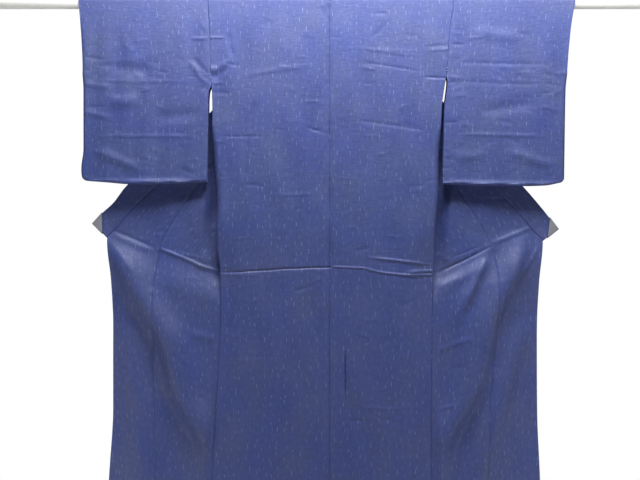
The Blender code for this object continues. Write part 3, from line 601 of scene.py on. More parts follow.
class Line:
    """A smooth curve through two columns of a table, which never overshoots its rows."""

    def __init__(self, source, key, name):
        rows = sorted(source, key=lambda row: getattr(row, key))
        self.xs = np.array([getattr(row, key) for row in rows])
        self.ys = np.array([getattr(row, name) for row in rows])
        steps = np.diff(self.ys) / np.diff(self.xs)
        before, after = steps[:-1], steps[1:]
        same = before * after > 0
        total = np.where(same, before + after, 1.0)
        inner = np.where(same, 2 * before * after / total, 0.0)
        self.slopes = np.concatenate([steps[:1], inner, steps[-1:]])

    def __call__(self, at):
        at = np.clip(at, self.xs[0], self.xs[-1])
        i = np.clip(np.searchsorted(self.xs, at, side="right") - 1, 0, len(self.xs) - 2)
        width = self.xs[i + 1] - self.xs[i]
        t = (at - self.xs[i]) / width
        return (
            (1 + 2 * t) * (1 - t) ** 2 * self.ys[i]
            + t * (1 - t) ** 2 * width * self.slopes[i]
            + t * t * (3 - 2 * t) * self.ys[i + 1]
            + t * t * (t - 1) * width * self.slopes[i + 1]
        )


BACK_DEPTH = Line(DEPTHS, "height", "back")
PLAIN_DEPTH = Line(DEPTHS, "height", "front")
FOLDED_DEPTH = Line(DEPTHS, "height", "folded")


def over_rod(along, radius):
    """Depth and height of a cloth hung over the rod, by distance from its top line, behind positive."""
    quarter = radius * math.pi / 2
    angle = np.clip(along / radius, -math.pi / 2, math.pi / 2)
    height = np.where(np.abs(along) < quarter, radius * np.cos(angle), quarter - np.abs(along))
    return radius * np.sin(angle), height


def relief(x, z, folds):
    """How far the largest soft folds lift the cloth towards the viewer."""
    total = np.zeros(np.broadcast(x, z).shape)
    for fold in folds:
        dx, dz = fold.x1 - fold.x0, fold.z1 - fold.z0
        t = np.clip(((x - fold.x0) * dx + (z - fold.z0) * dz) / (dx * dx + dz * dz), 0.0, 1.0)
        away = np.hypot(x - fold.x0 - t * dx, z - fold.z0 - t * dz)
        total += FOLD_LIFT * fold.height * np.exp(-((away / fold.width) ** 2))
    return total


def ridged(x, z, ridges, sign):
    """How far the long folds lift the cloth: steep on their outer side, gentle on the inner one."""
    total = np.zeros(np.broadcast(x, z).shape)
    for ridge in ridges:
        off = (x - Line(ridge.crests, "z", "x")(z)) * sign
        width = np.where(off > 0, ridge.outer, ridge.inner)
        total += Line(ridge.crests, "z", "height")(z) * np.exp(-((off / width) ** 2))
    return total


def creased(x, z, creases, step):
    """How far the charted creases lift the cloth towards the viewer."""
    column = GRID_SPOT[0] + (x - GRID_PLACE[0]) / step
    row = GRID_SPOT[1] - (z - GRID_PLACE[1]) / step
    total = np.zeros(np.broadcast(x, z).shape)
    for mark in creases:
        dx, dy = mark.x1 - mark.x0, mark.y1 - mark.y0
        length = math.hypot(dx, dy)
        t = ((column - mark.x0) * dx + (row - mark.y0) * dy) / length**2
        off = ((row - mark.y0) * dx - (column - mark.x0) * dy) / length
        off = off - mark.bow * 4 * t * (1 - t)
        fade = ease(t, 0.0, CREASE_ENDS) * ease(1 - t, 0.0, CREASE_ENDS)
        total += mark.height * CREASE_LIFT * np.exp(-((off / mark.width) ** 2)) * fade
    return total


def waves(across, along, seed, length=WAVE_LENGTH, height=WAVE_HEIGHT):
    """Gentle unevenness of hung cloth, drawn out along the warp."""
    chance = np.random.default_rng(seed)
    total = np.zeros(np.broadcast(across, along).shape)
    for _ in range(WAVE_COUNT):
        slant = chance.normal(0.0, WAVE_SLANT)
        size = length * chance.uniform(*WAVE_SPREAD)
        phase = chance.uniform(0.0, 2 * math.pi)
        way = across * math.cos(slant) + along * WAVE_STRETCH * (math.sin(slant) + WAVE_DRIFT * slant)
        total += np.sin(2 * math.pi * way / size + phase)
    return height * total / math.sqrt(WAVE_COUNT)


def drawn_in(away, along, seed):
    """How far a seam draws the cloth in, at a distance from it, with uneven puckers along it."""
    pucker = 1 + PUCKER_SHARE * waves(along, 0.0, seed, PUCKER_LENGTH, 1.0)
    return SEAM_DEPTH * pucker * np.exp(-((away / SEAM_WIDTH) ** 2))


def wrinkles(seed, x0, y0, x1, y1):
    """Small creases strewn over a part of the chart, most of them across the warp."""
    chance = np.random.default_rng(seed)
    marks = []
    for _ in range(WRINKLE_COUNT):
        x, y = chance.uniform(x0, x1), chance.uniform(y0, y1)
        slant = chance.normal(0.0, WRINKLE_SLANT)
        half = chance.uniform(*WRINKLE_LENGTH) / 2
        dx, dy = half * math.cos(slant), half * math.sin(slant)
        width, height = chance.uniform(*WRINKLE_WIDTH), chance.normal(0.0, WRINKLE_HEIGHT)
        bow = chance.normal(0.0, WRINKLE_BOW)
        marks.append(Crease(x - dx, y - dy, x + dx, y + dy, width, height, bow))
    return marks


def waist_groove(drop, middle):
    """Share of the sharp storage crease's depth, by the drop of its middle."""
    return np.maximum(0.0, 1 - np.abs(drop - middle) / CREASE_HALF) ** CREASE_SHARPNESS


def join_share(z):
    """0 where the side edges hang apart, 1 where the side seam joins them."""
    return ease(-z, UNDERARM_OPEN_END, UNDERARM_JOINED)


def points(x, y, z):
    """Rows of points from three arrays that fit each other."""
    return np.stack(np.broadcast_arrays(x, y, z), axis=-1)


def unit(vectors):
    return vectors / np.maximum(np.linalg.norm(vectors, axis=-1, keepdims=True), TINY)


BACK_MARKS = sum((wrinkles(*window) for window in BACK_WINDOWS), BACK_CREASES)


class Side:
    """The shapes of one side of the garment."""

    def __init__(
        self, name, sign, front, collar, edge, sleeve, hem, folds, ridges, creases, sleeve_creases, slit
    ):
        self.name = name
        self.sign = sign
        self.inward = np.array([-sign, 0.0, 0.0])
        self.fold = Line(front, "drop", "fold")
        self.ends = {
            end: (Line(front, "drop", end + "_x"), Line(front, "drop", end + "_z"))
            for end in ("seam", "edge")
        }
        self.collar_x = Line(collar, "drop", "x")
        self.collar_z = Line(collar, "drop", "z")
        self.side_x = Line(edge, "at", "value")
        self.inner = Line(sleeve, "height", "inner")
        self.cuff = Line(sleeve, "height", "cuff")
        self.hem = Line(hem, "at", "value")
        self.folds = folds
        self.ridges = ridges
        self.creases = creases + self.strewn(FRONT_WINDOW)
        self.sleeve_creases = sleeve_creases + self.strewn(SLEEVE_WINDOW)
        self.slit = slit

    def strewn(self, window):
        """Wrinkles over this side's part of the chart."""
        middle = GRID_SPOT[0] + self.sign * window.out
        left, right = middle - window.half, middle + window.half
        return wrinkles(window.seed + self.sign, left, window.top, right, window.bottom)

    def folded_y(self, x, z, drop):
        """Depth of the folded front behind the body."""
        seam = np.abs(self.ends["seam"][0](drop))
        outer = np.abs(self.ends["edge"][0](drop))
        turn = ease(drop, *EDGE_TURN_DROPS)
        turn = turn * ease(np.abs(x), seam, outer + SEAM_TO_EDGE_MIN)
        start = ease(np.abs(x) - np.abs(self.fold(drop)), *RELIEF_FROM_FOLD)
        start = start * ease(drop, *RELIEF_BELOW_NECK)
        lift = relief(x, z, self.folds) + creased(x, z, self.creases, FRONT_GRID)
        lift = lift + waves(x, z, FOLDED_SEED + self.sign) + ridged(x, z, self.ridges, self.sign)
        from_side = np.abs(x) - np.abs(self.side_x(z))
        shown = ease(from_side, -NEAR_HIDDEN, 0.0) * ease(-z, *NEAR_SLEEVE)
        narrow = ease(-z, *NEAR_NARROWS)
        width = NEAR_SLEEVE_WIDTH + (NEAR_WIDTH - NEAR_SLEEVE_WIDTH) * narrow
        beside = 1 - ease(from_side, *NEAR_BESIDE)
        knot = ease(drop, *NEAR_KNOT)
        shown = shown * (1 - beside * (1 - knot))
        below = ease(-z, *NEAR_STARTS)
        calm = shown * below
        inwards = 1 - calm * np.exp(-((from_side / NEAR_CALM) ** 2))
        outwards = 1 - calm * (1 - ease(from_side, 0.0, NEAR_CLEAR))
        lift = start * np.where(lift > 0, lift * outwards, lift * inwards)
        dip = ease(drop, *NEAR_DIPS) * (1 - ease(drop, *NEAR_RISES))
        near = NEAR_SLEEVE_DEPTH + (NEAR_DEPTH - NEAR_SLEEVE_DEPTH) * below + NEAR_DIP * dip
        depth = FOLDED_DEPTH(z)
        depth = depth + (near - depth) * shown * np.exp(-((from_side / width) ** 2))
        return depth + EDGE_TURN * turn - lift

    def fold_frame(self, drop):
        """Start of the fold and the way out of the cloth's face there."""
        y, z = over_rod(drop, DRAPE)
        y = np.where(drop > QUARTER, PLAIN_DEPTH(z), y)
        angle = np.minimum(drop / DRAPE, math.pi / 2)
        return points(self.fold(drop), y, z), points(0.0, np.sin(angle), np.cos(angle))

    def fold_angle(self, drop):
        turned = ease(drop, 0.0, FOLD_FLAT_DROP)
        return turned, FOLD_START_ANGLE + (math.pi - FOLD_START_ANGLE) * turned

    def fold_points(self, drop, share):
        """Points on the turned fold; share runs from the plain front (0) to the folded front (1)."""
        start, outward = self.fold_frame(drop)
        turned, angle = self.fold_angle(drop)
        gap = self.folded_y(self.fold(drop), start[..., 2], drop) - start[..., 1]
        full = FOLD_START_RADIUS + (gap / 2 - FOLD_START_RADIUS) * turned
        radius = np.where(drop > QUARTER, full, FOLD_START_RADIUS)
        bent = angle * share
        turn = (radius * np.sin(bent))[..., None] * self.inward
        return start + turn + (radius * (1 - np.cos(bent)))[..., None] * outward

    def lapel_end(self, drop, name):
        """Points on the overlap seam or on the outer edge of the folded front."""
        x = self.ends[name][0](drop)
        z = self.ends[name][1](drop)
        full = points(x, self.folded_y(x, z, np.maximum(drop, FOLD_FLAT_DROP)), z)
        _, outward = self.fold_frame(drop)
        turned, angle = self.fold_angle(drop)
        away = NECK_LAPEL + (np.abs(x - self.fold(drop)) - NECK_LAPEL) * turned
        away = np.maximum(away, NECK_LAPEL)
        way = np.cos(angle)[..., None] * self.inward + np.sin(angle)[..., None] * outward
        near = self.fold_points(drop, 1.0) + way * away[..., None]
        return np.where((drop >= FOLD_FLAT_DROP)[..., None], full, near)

    def side_points(self, z, y, share):
        """Points on the rounded side edge; share runs from the side seam (0) to the plain sheet (1)."""
        angle = share * math.pi / 2
        joined = join_share(z)
        rim = self.side_x(z)
        plain = rim - self.sign * BACK_DEPTH(z) * joined * SIDE_ROUNDING
        across = rim + (plain - rim) * (1 - np.cos(angle))
        free = rim - self.sign * SIDE_STRIP * share
        x = free + (across - free) * joined
        seam = np.copysign(SEAM / 2, y)
        closed = seam + (y - seam) * np.sin(angle) ** np.where(y > 0, FRONT_RIM_POWER, 1.0)
        return points(x, y + (closed - y) * joined, z)

    def sheet_edge(self, z):
        """Inner end of the side edge's steps."""
        return self.side_points(z, DRAPE, 1.0)[..., 0]

    def collar_free(self, drop):
        """Points on the free edge of the collar."""
        x, z = self.collar_x(drop), self.collar_z(drop)
        stand = NECK_STAND * (1 - ease(drop, 0.0, FOLD_FLAT_DROP))
        return points(x, self.folded_y(x, z, np.maximum(drop, FOLD_FLAT_DROP)) + stand, z)


LEFT = Side(
    "left", -1, LEFT_FRONT, LEFT_COLLAR, LEFT_SIDE, LEFT_SLEEVE, LEFT_HEM,
    LEFT_FOLDS, LEFT_RIDGES, LEFT_CREASES, LEFT_SLEEVE_CREASES, LEFT_SLIT,
)
RIGHT = Side(
    "right", 1, RIGHT_FRONT, RIGHT_COLLAR, RIGHT_SIDE, RIGHT_SLEEVE, RIGHT_HEM,
    RIGHT_FOLDS, RIGHT_RIDGES, RIGHT_CREASES, RIGHT_SLEEVE_CREASES, RIGHT_SLIT,
)
SIDES = (LEFT, RIGHT)


def panel_shares(count, extra=()):
    """Shares across a panel, with narrow steps beside its first edge and at extra places."""
    even = np.linspace(EDGE_SHARES[-1], 1.0, count + 1 - len(EDGE_SHARES))[1:]
    return np.unique(np.concatenate([EDGE_SHARES, even, extra]))


def drops_down(steps):
    """Drops from the shoulder to the hem, closer together on the rod and round the waist crease."""
    stops = (0.0, QUARTER, WAIST_CREASE - WAIST_REACH, WAIST_CREASE + WAIST_REACH, LOW_DROP, HEM_DROP)
    parts = [
        np.linspace(low, high, count + 1)[:-1]
        for low, high, count in zip(stops, stops[1:], (ROD_ROWS // 2, *steps))
    ]
    return np.concatenate([*parts, [HEM_DROP]])[:, None]


def front_rows(side, drop):
    """Points across one front, from the overlap seam or collar seam to the side seam."""
    end = np.where(
        (drop <= POINT_DROP)[..., None], side.lapel_end(drop, "edge"), side.lapel_end(drop, "seam")
    )
    begin = side.fold_points(drop, 1.0)
    end = end + unit(begin - end) * SEAM / 2
    share = panel_shares(LAPEL_COUNT + 1)[:-1][None, :, None]
    lapel = end + (begin - end) * share
    from_fold = np.linalg.norm(lapel - begin, axis=-1)
    from_seam = np.linalg.norm(lapel - end, axis=-1)
    blend = ease(from_fold, 0.0, FOLD_BLEND) * (drop > FOLD_FLAT_DROP)
    y = side.folded_y(lapel[..., 0], lapel[..., 2], drop)
    y = y + drawn_in(from_seam, drop, LAPEL_SEED + side.sign) * (drop > POINT_DROP)
    lapel[..., 1] += (y - lapel[..., 1]) * blend
    bends = 1 - np.arange(FOLD_COUNT)[None, :] / FOLD_COUNT
    turned = side.fold_points(drop * np.ones_like(bends), bends)
    start, _ = side.fold_frame(drop)
    height = start[..., 2]
    edge_x = side.sheet_edge(height)
    across = np.arange(PLAIN_COUNT)[None, :] / PLAIN_COUNT
    x = start[..., 0] + (edge_x - start[..., 0]) * across
    lift = waves(x, height, PLAIN_SEED + side.sign) + creased(-x, height, BACK_MARKS, BACK_GRID)
    lift = lift * ease(across, 0.0, PLAIN_FADE) * ease(1 - across, 0.0, PLAIN_FADE)
    plain = points(x, start[..., 1] - lift * ease(drop, *RELIEF_BELOW_NECK), height)
    rim = side.side_points(height, start[..., 1], SIDE_SHARES)
    return np.concatenate([lapel, turned, plain, rim], axis=1)


def back_rows(side, along):
    """Points across the back, from its centre seam or the neckline to the side seam."""
    y, z = over_rod(along, DRAPE)
    neck = np.interp(along, [row.at for row in NECKLINE], [row.value for row in NECKLINE])
    inner = np.where(along > NECKLINE[0].at, np.maximum(neck, SEAM / 2), SEAM / 2)
    share = panel_shares(BACK_COUNT + 1, UPRIGHT_SHARES)[:-1][None, :]
    x = side.sign * inner + (side.sheet_edge(z) - side.sign * inner) * share
    flat = ease(-z, RELIEF_STARTS, RELIEF_WHOLE)
    waver = waves(z, 0.0, WAVER_SEED, WAVER_LENGTH, 1.0)
    near = np.exp(-((x / (2 * SEAM_WIDTH)) ** 2)) * WAVER_HEIGHT * waver
    lift = relief(x, z, BACK_FOLDS) + waves(x, z, BACK_SEED) - near
    lift = flat * lift + creased(x, z, BACK_MARKS, BACK_GRID) * ease(-z, 0.0, RELIEF_STARTS)
    uneven = CREASE_UNEVEN * waves(x, 0.0, CREASE_SEED, CREASE_UNEVEN_LENGTH, 1.0)
    middle = Line(WAIST_LINE, "x", "drop")(x) + uneven
    groove = cloth_sizes().waist_crease * Line(WAIST_LINE, "x", "share")(x)
    groove = groove * waist_groove(QUARTER - z, middle)
    away = np.abs(side.sheet_edge(z)) - np.abs(x)
    turn = np.exp(-((away / TURN_WIDTH) ** 2)) * ease(-z, *TURN_STARTS)
    wide = np.where(x < 0, SEAM_STEP_WIDTH, 1.0)
    sewn = drawn_in(np.abs(x) / wide, z, CENTRE_SEED) * np.where(x < 0, SEAM_STEP, 1.0)
    depth = BACK_DEPTH(z)
    formed = groove - lift
    formed = np.minimum(formed, 0.0) + np.maximum(formed, 0.0) * (1 - TURN_CALM * turn)
    hung = -depth + (depth - TURN_DEPTH) * turn + formed
    hung = hung + sewn * ease(-z, 0.0, RELIEF_STARTS)
    sheet = points(x, np.where(along < -QUARTER, hung, y), z)
    rim = side.side_points(z, sheet[:, -1:, 1], SIDE_SHARES)
    return np.concatenate([sheet, rim], axis=1)


def lengths(rows, axis):
    """Distance along the cloth from the first point of each line."""
    steps = np.linalg.norm(np.diff(rows, axis=axis), axis=-1)
    zero = np.zeros_like(steps.take([0], axis=axis))
    return np.concatenate([zero, np.cumsum(steps, axis=axis)], axis=axis)


def tucked(rows, reach, way):
    """Rows with a narrow strip added past their first edge, which lies behind the neighbour."""
    outward = unit(rows[:, :1] - rows[:, TUCK_COUNT:TUCK_COUNT + 1])
    strips = [rows[:, :1] + outward * reach * tuck.far + way * tuck.deep for tuck in TUCKS]
    rim = rows[:, :1] + way * TUCK_RIM
    return np.concatenate([*strips, rim, rows[:, 1:]], axis=1)


def backwards(depth):
    """A way straight back from the viewer, for each row."""
    return points(0.0, depth, 0.0)


def tuck_reach(share):
    """How far a tucked strip reaches, from none of it (0) to the whole strip (1)."""
    return (TUCK_NONE + (TUCK_REACH - TUCK_NONE) * share)[..., None]


def charted(u, along, start, sign=0):
    """Place of each point on the pattern, in metres of cloth."""
    spots = np.stack(np.broadcast_arrays(u, along), axis=-1)
    return spots + np.array([sign * CHART_STEP + start[0], start[1]])


def sheet_object(name, rows, chart, thickness, looped=False):
    """A silk shell through rows of points, with its own map in metres of cloth."""
    down, across = rows.shape[0] - 1, rows.shape[1] - 1
    bm = bmesh.new()
    bmesh.ops.create_grid(bm, x_segments=across, y_segments=down, size=0.5)
    mesh = bpy.data.meshes.new(name)
    bm.to_mesh(mesh)
    spots = np.empty(len(mesh.vertices) * 3, np.float32)
    mesh.vertices.foreach_get("co", spots)
    spots = spots.reshape(-1, 3) + 0.5
    i = np.rint(spots[:, 0] * across).astype(int)
    j = np.rint(spots[:, 1] * down).astype(int)
    mesh.vertices.foreach_set("co", rows[j, i].astype(np.float32).ravel())
    corners = np.empty(len(mesh.loops), np.int32)
    mesh.loops.foreach_get("vertex_index", corners)
    layer = mesh.uv_layers.new(name="Cloth")
    layer.uv.foreach_set("vector", chart[j, i][corners].astype(np.float32).ravel())
    if looped:
        bm.clear()
        bm.from_mesh(mesh)
        bmesh.ops.remove_doubles(bm, verts=bm.verts, dist=LOOP_GAP)
        bm.to_mesh(mesh)
    bm.free()
    mesh.update()
    obj = placed(name, mesh, silk())
    wall = obj.modifiers.new("Cloth wall", "SOLIDIFY")
    wall.thickness = thickness
    wall.offset = 0.0
    return obj


def linked(name, data):
    """A new object in the scene."""
    obj = bpy.data.objects.new(name, data)
    bpy.context.scene.collection.objects.link(obj)
    return obj


def placed(name, mesh, finish):
    """A new piece with its finish, riding on the frame."""
    mesh.shade_smooth()
    mesh.materials.append(finish)
    obj = linked(name, mesh)
    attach(obj, BODY)
    return obj


def mesh_of(bm, name):
    """A mesh made from a bmesh, which is let go."""
    mesh = bpy.data.meshes.new(name)
    bm.to_mesh(mesh)
    bm.free()
    return mesh


def softened(bm, rims, offset, segments):
    """Edges broken by a small round."""
    bmesh.ops.bevel(
        bm, geom=rims, offset=offset, affect="EDGES", segments=segments, profile=0.5, material=-1
    )


def back(side):
    """The back half of one body width, from the hem up to the top of the rod."""
    along = -drops_down(BACK_STEPS)[::-1]
    _, height = over_rod(along, DRAPE)
    below_rod = ease(-height, TUCK_STARTS, RELIEF_STARTS)
    reach = TUCK_REACH if side is LEFT else TUCK_NONE
    depth = TUCK_DEPTH if side is LEFT else 0.0
    rows = tucked(back_rows(side, along), reach, backwards(depth * below_rod))
    across = lengths(rows, 1)
    u = np.abs(rows[:, TUCK_COUNT:TUCK_COUNT + 1, 0]) + across - across[:, TUCK_COUNT:TUCK_COUNT + 1]
    width_shell(side, "back", rows, u, along)


def front(side):
    """The front half of one body width, from the top of the rod down to the hem."""
    drop = drops_down(FRONT_STEPS)
    beside_collar = 1 - ease(drop, POINT_DROP, POINT_DROP + POINT_STEP)
    depth = TUCK_DEPTH + (TUCK_COLLAR_DEPTH - TUCK_DEPTH) * beside_collar
    shown = ease(drop, FOLD_FLAT_DROP, RELIEF_BELOW_NECK[1])
    rows = tucked(front_rows(side, drop), tuck_reach(shown), backwards(depth * shown))
    u = np.abs(side.side_x(0.0)) - lengths(rows[:, ::-1], 1)[:, ::-1]
    width_shell(side, "front", rows, u, drop)


def width_shell(side, name, rows, u, along):
    """Half of a body width, charted so that the pattern runs on over the rod."""
    chart = charted(u, along, BODY_CHART, side.sign)
    obj = sheet_object(name + "_cloth_" + side.name, rows, chart, cloth_sizes().wall)
    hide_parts(name + "_" + side.name)


def overlap(side):
    """The overlap panel between the overlap seam and the collar or the front edge."""
    drop = np.linspace(POINT_DROP + POINT_STEP, HEM_DROP, OVERLAP_ROWS)[:, None]
    seam = side.lapel_end(drop, "seam")
    edge = side.lapel_end(drop, "edge")
    inset = unit(edge - seam) * SEAM / 2
    share = panel_shares(OVERLAP_COUNT)[None, :, None]
    rows = (seam + inset) + (edge - seam - 2 * inset) * share
    rows[..., 1] = side.folded_y(rows[..., 0], rows[..., 2], drop)
    across = lengths(rows, 1)
    rows[..., 1] += drawn_in(across, drop, LAPEL_SEED + side.sign)
    beside_collar = 1 - ease(drop, COLLAR_END_DROP - COLLAR_END_STEP, COLLAR_END_DROP)
    behind = backwards(TUCK_COLLAR_DEPTH * beside_collar)
    rows = tucked(rows[:, ::-1], tuck_reach(beside_collar), behind)[:, ::-1]
    chart = charted(lengths(rows, 1), drop, OVERLAP_CHART, side.sign)
    obj = sheet_object("overlap_cloth_" + side.name, rows, chart, cloth_sizes().wall)
    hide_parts("okumi_" + side.name)


def sleeve_path():
    """Rows of a sleeve from its lowest line up the back, over the rod and down the front."""
    turn = np.linspace(math.pi / 2, 0.0, SLEEVE_TURN_ROWS)[:-1]
    low = SLEEVE_BOTTOM + SLEEVE_ROUND * (1 - np.sin(turn))
    rise = np.linspace(SLEEVE_BOTTOM + SLEEVE_ROUND, 0.0, SLEEVE_ROWS)
    over = np.linspace(-QUARTER, QUARTER, ROD_ROWS)[1:-1]
    height = np.concatenate([low, rise, QUARTER - np.abs(over), rise[::-1], low[::-1]])
    share = np.concatenate([np.cos(turn), np.ones(len(rise))])
    sheet = np.concatenate([-share, np.zeros(len(over)), share[::-1]])
    along = np.concatenate([np.full(len(share), -QUARTER), over, np.full(len(share), QUARTER)])
    return height[:, None], sheet[:, None], along[:, None]


def sleeve_rows(side):
    """Points across one sleeve, from beside the body to the cuff."""
    height, sheet, along = sleeve_path()
    z = np.minimum(height, 0.0)
    inner = side.inner(z)
    above = np.minimum(z - SLEEVE_BOTTOM, SLEEVE_CORNER)
    corner = SLEEVE_CORNER - np.sqrt(SLEEVE_CORNER**2 - (SLEEVE_CORNER - above) ** 2)
    cuff = side.cuff(z) - side.sign * corner
    rim = 1 - CUFF_RIM / np.abs(cuff - inner)
    wide = panel_shares(SLEEVE_COUNT - CUFF_COUNT)[None, :-1] * rim
    turn = np.linspace(0.0, math.pi / 2, CUFF_COUNT + 1)[None, :]
    share = np.concatenate([wide, rim + (1 - rim) * np.sin(turn)], axis=1)
    x = inner + (cuff - inner) * share
    narrowing = np.where(sheet > 0, SLEEVE_NARROWING, SLEEVE_BACK_NARROWING)
    half = BACK_DEPTH(z) * (1 - narrowing * ease(-z, *SLEEVE_NARROWS))
    to_cuff = np.minimum(np.abs(cuff - x) / CUFF_RIM, 1.0)
    closed = np.maximum(np.sqrt(np.maximum(1 - (1 - to_cuff) ** 2, 0.0)), SEAM / half)
    half = half * (1 + (closed - 1) * ease(-z, *CUFF_SEWN))
    lowest = side.hem(share)
    hung_z = z + (lowest - SLEEVE_BOTTOM) * ease(-z, *SLEEVE_BOWS)
    mirrored = np.where(sheet > 0, -1.0, 1.0)
    lift = waves(x * mirrored + sheet, hung_z, SLEEVE_SEED + side.sign)
    lift = lift + creased(x, hung_z, side.sleeve_creases, BACK_GRID)
    lift = lift * ease(-z, RELIEF_STARTS, RELIEF_WHOLE) * ease(to_cuff, 0.0, 1.0)
    sewn = 1 - ease(-z, side.slit - SLIT_FADE, side.slit)
    lift = lift - drawn_in(np.abs(x - inner), hung_z, ARMHOLE_SEED + side.sign) * sewn
    y = sheet * (half + lift)
    over_y, over_z = over_rod(along, DRAPE)
    over = np.abs(along) < QUARTER * ON_ROD
    return points(x, np.where(over, over_y, y), np.where(over, over_z, hung_z))


def sleeve(side):
    """One sleeve: a flat tube over the rod, open at the cuff above and beside the body below."""
    rows = sleeve_rows(side)
    height = rows[:, :1, 2]
    sewn = 1 - ease(-height, side.slit - TUCK_SLIT_FADE, side.slit)
    sewn = sewn * ease(-height, TUCK_STARTS, RELIEF_STARTS)
    inside = backwards(-np.sign(rows[:, :1, 1]) * TUCK_DEPTH * sewn)
    rows = tucked(rows, tuck_reach(sewn), inside)
    chart = charted(lengths(rows, 1), lengths(rows[:, :1], 0), SLEEVE_CHART, side.sign)
    obj = sheet_object("sleeve_cloth_" + side.name, rows, chart, cloth_sizes().wall, looped=True)
    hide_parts("sleeve_" + side.name)


def collar_sections(side, drop):
    """Points across the collar beside a front: from its seam to its free edge."""
    seam = side.lapel_end(drop, "edge")
    free = side.collar_free(drop)
    _, outward = side.fold_frame(drop)
    lapel = unit(seam - side.fold_points(drop, 1.0))
    chord = unit(free - seam)
    leave = unit(chord + outward * (1 - ease(drop, 0.0, COLLAR_FLAT_DROP))[..., None])
    turn = np.sum(lapel * leave, axis=-1, keepdims=True)
    bend = np.sqrt(np.clip(1 - turn * turn, 0.0, 1.0))
    seam = seam + leave * (SEAM / 2 + (cloth_sizes().wall / 2 + SEAM / 2) * bend)
    reach = np.linalg.norm(free - seam, axis=-1, keepdims=True)
    handle = reach / 3 + COLLAR_BULGE * np.maximum(COLLAR_WIDTH - reach, 0.0) * bend
    t = np.linspace(0.0, 1.0, COLLAR_COUNT + 1)[None, :, None]
    curve = seam * (1 - t) ** 3 + (seam + leave * handle) * 3 * t * (1 - t) ** 2
    return curve + (free - chord * handle) * 3 * t * t * (1 - t) + free * t**3


def neck_sections(side, first):
    """Points across the collar behind the neck: up the rod, then off it, leaning to the front."""
    radius = ROD_RADIUS + COLLAR_REST + COLLAR_CLOTH / 2
    spots = np.array([(row.value, row.at) for row in NECKLINE])
    runs = np.concatenate([[0.0], np.cumsum(np.hypot(*np.diff(spots, axis=0).T))])
    marks = [Edge(run, *spot) for run, spot in zip(runs, spots)]
    width, at = Line(marks, "drop", "x"), Line(marks, "drop", "z")
    run = np.linspace(0.0, runs[-1], NECK_ROWS + 1)[:-1, None]
    nudge = MILLIMETRE
    way = unit(np.stack([width(run + nudge) - width(run), at(run + nudge) - at(run)], axis=-1))
    half = np.maximum(width(run) - way[..., 1] * SEAM_AT_NECK, 0.0)
    half[0] = 0.0
    start = at(run) + way[..., 0] * SEAM_AT_NECK
    leave = np.maximum(COLLAR_LEAVES_ROD, start)
    share = np.linspace(0.0, 1.0, COLLAR_COUNT + 1)[None, :]
    length = start + COLLAR_WIDTH * share
    y, z = over_rod(np.minimum(length, leave), radius)
    off = np.maximum(length - leave, 0.0)
    angle = leave / radius + COLLAR_LEAN * off / COLLAR_WIDTH
    wrapped = points(side.sign * half, y + off * np.cos(angle), z - off * np.sin(angle))
    mix = ease(run / runs[-1], NECK_MIX_FROM, 1.0) * np.minimum(share * NECK_MIX_SHARE, 1.0)
    return wrapped + (first - wrapped) * mix[..., None]


def collar():
    """The collar from one end round the neck to the other."""
    halves = []
    for side in SIDES:
        drop = np.linspace(SHOULDER_STEP, COLLAR_END_DROP, COLLAR_ROWS // 2)[:, None]
        fronts = collar_sections(side, drop)
        halves.append(np.concatenate([neck_sections(side, fronts[:1]), fronts]))
    rows = np.concatenate([halves[0][::-1], halves[1][1:]])
    along = lengths(rows[:, COLLAR_COUNT // 2:COLLAR_COUNT // 2 + 1], 0)
    chart = charted(lengths(rows, 1), along, COLLAR_CHART)
    obj = sheet_object("collar_cloth", rows, chart, cloth_sizes().collar_wall)
    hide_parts("collar_left", "collar_neck", "collar_right")


def clip(side):
    """A folded corner clip: two plates over the collar's end, joined along its two edges."""
    at = np.array([[COLLAR_END_DROP], [CLIP_SEAT]])
    free = side.collar_free(at)
    tip = Vector(free[0, 0])
    seam = Vector(side.lapel_end(at, "edge")[0, 0])
    up = (Vector(free[1, 0]) - tip).normalized()
    down = (seam - tip).normalized()
    point = tip - (up + down).normalized() * CLIP_OUT
    corners = [point, point + up * CLIP_RUN, point + down * CLIP_RUN]
    face_way = (corners[1] - point).cross(corners[2] - point).normalized()
    depth = face_way * (COLLAR_CLOTH / 2 + CLIP_PLAY + CLIP_PLATE)
    bm = bmesh.new()
    plate = bm.faces.new([bm.verts.new(corner - depth) for corner in corners])
    grown = bmesh.ops.extrude_face_region(bm, geom=[plate])
    moved = [item for item in grown["geom"] if isinstance(item, bmesh.types.BMVert)]
    bmesh.ops.translate(bm, verts=moved, vec=depth * 2)
    bmesh.ops.recalc_face_normals(bm, faces=bm.faces)
    inward = ((corners[1] + corners[2]) / 2 - point).normalized()
    mouth = max(bm.faces, key=lambda face: face.normal.dot(inward))
    bmesh.ops.inset_region(bm, faces=[mouth], thickness=CLIP_PLATE, depth=0)
    deep = bmesh.ops.extrude_face_region(bm, geom=[mouth])
    inner = [item for item in deep["geom"] if isinstance(item, bmesh.types.BMVert)]
    bmesh.ops.delete(bm, geom=[mouth], context="FACES_ONLY")
    pocket = point + inward * CLIP_POCKET
    for vert in inner:
        away = vert.co - pocket
        across = face_way * away.dot(face_way)
        vert.co = pocket + across + (away - across) * CLIP_POCKET_END
    rims = [edge for edge in bm.edges if not any(vert in inner for vert in edge.verts)]
    softened(bm, rims, CLIP_SOFT_EDGE, CLIP_SOFT_STEPS)
    mesh = mesh_of(bm, "collar_clip_" + side.name)
    obj = placed("collar_clip_" + side.name, mesh, plastic())
    mesh.set_sharp_from_angle(angle=CLIP_SHARP)
    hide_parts("clip_" + side.name)


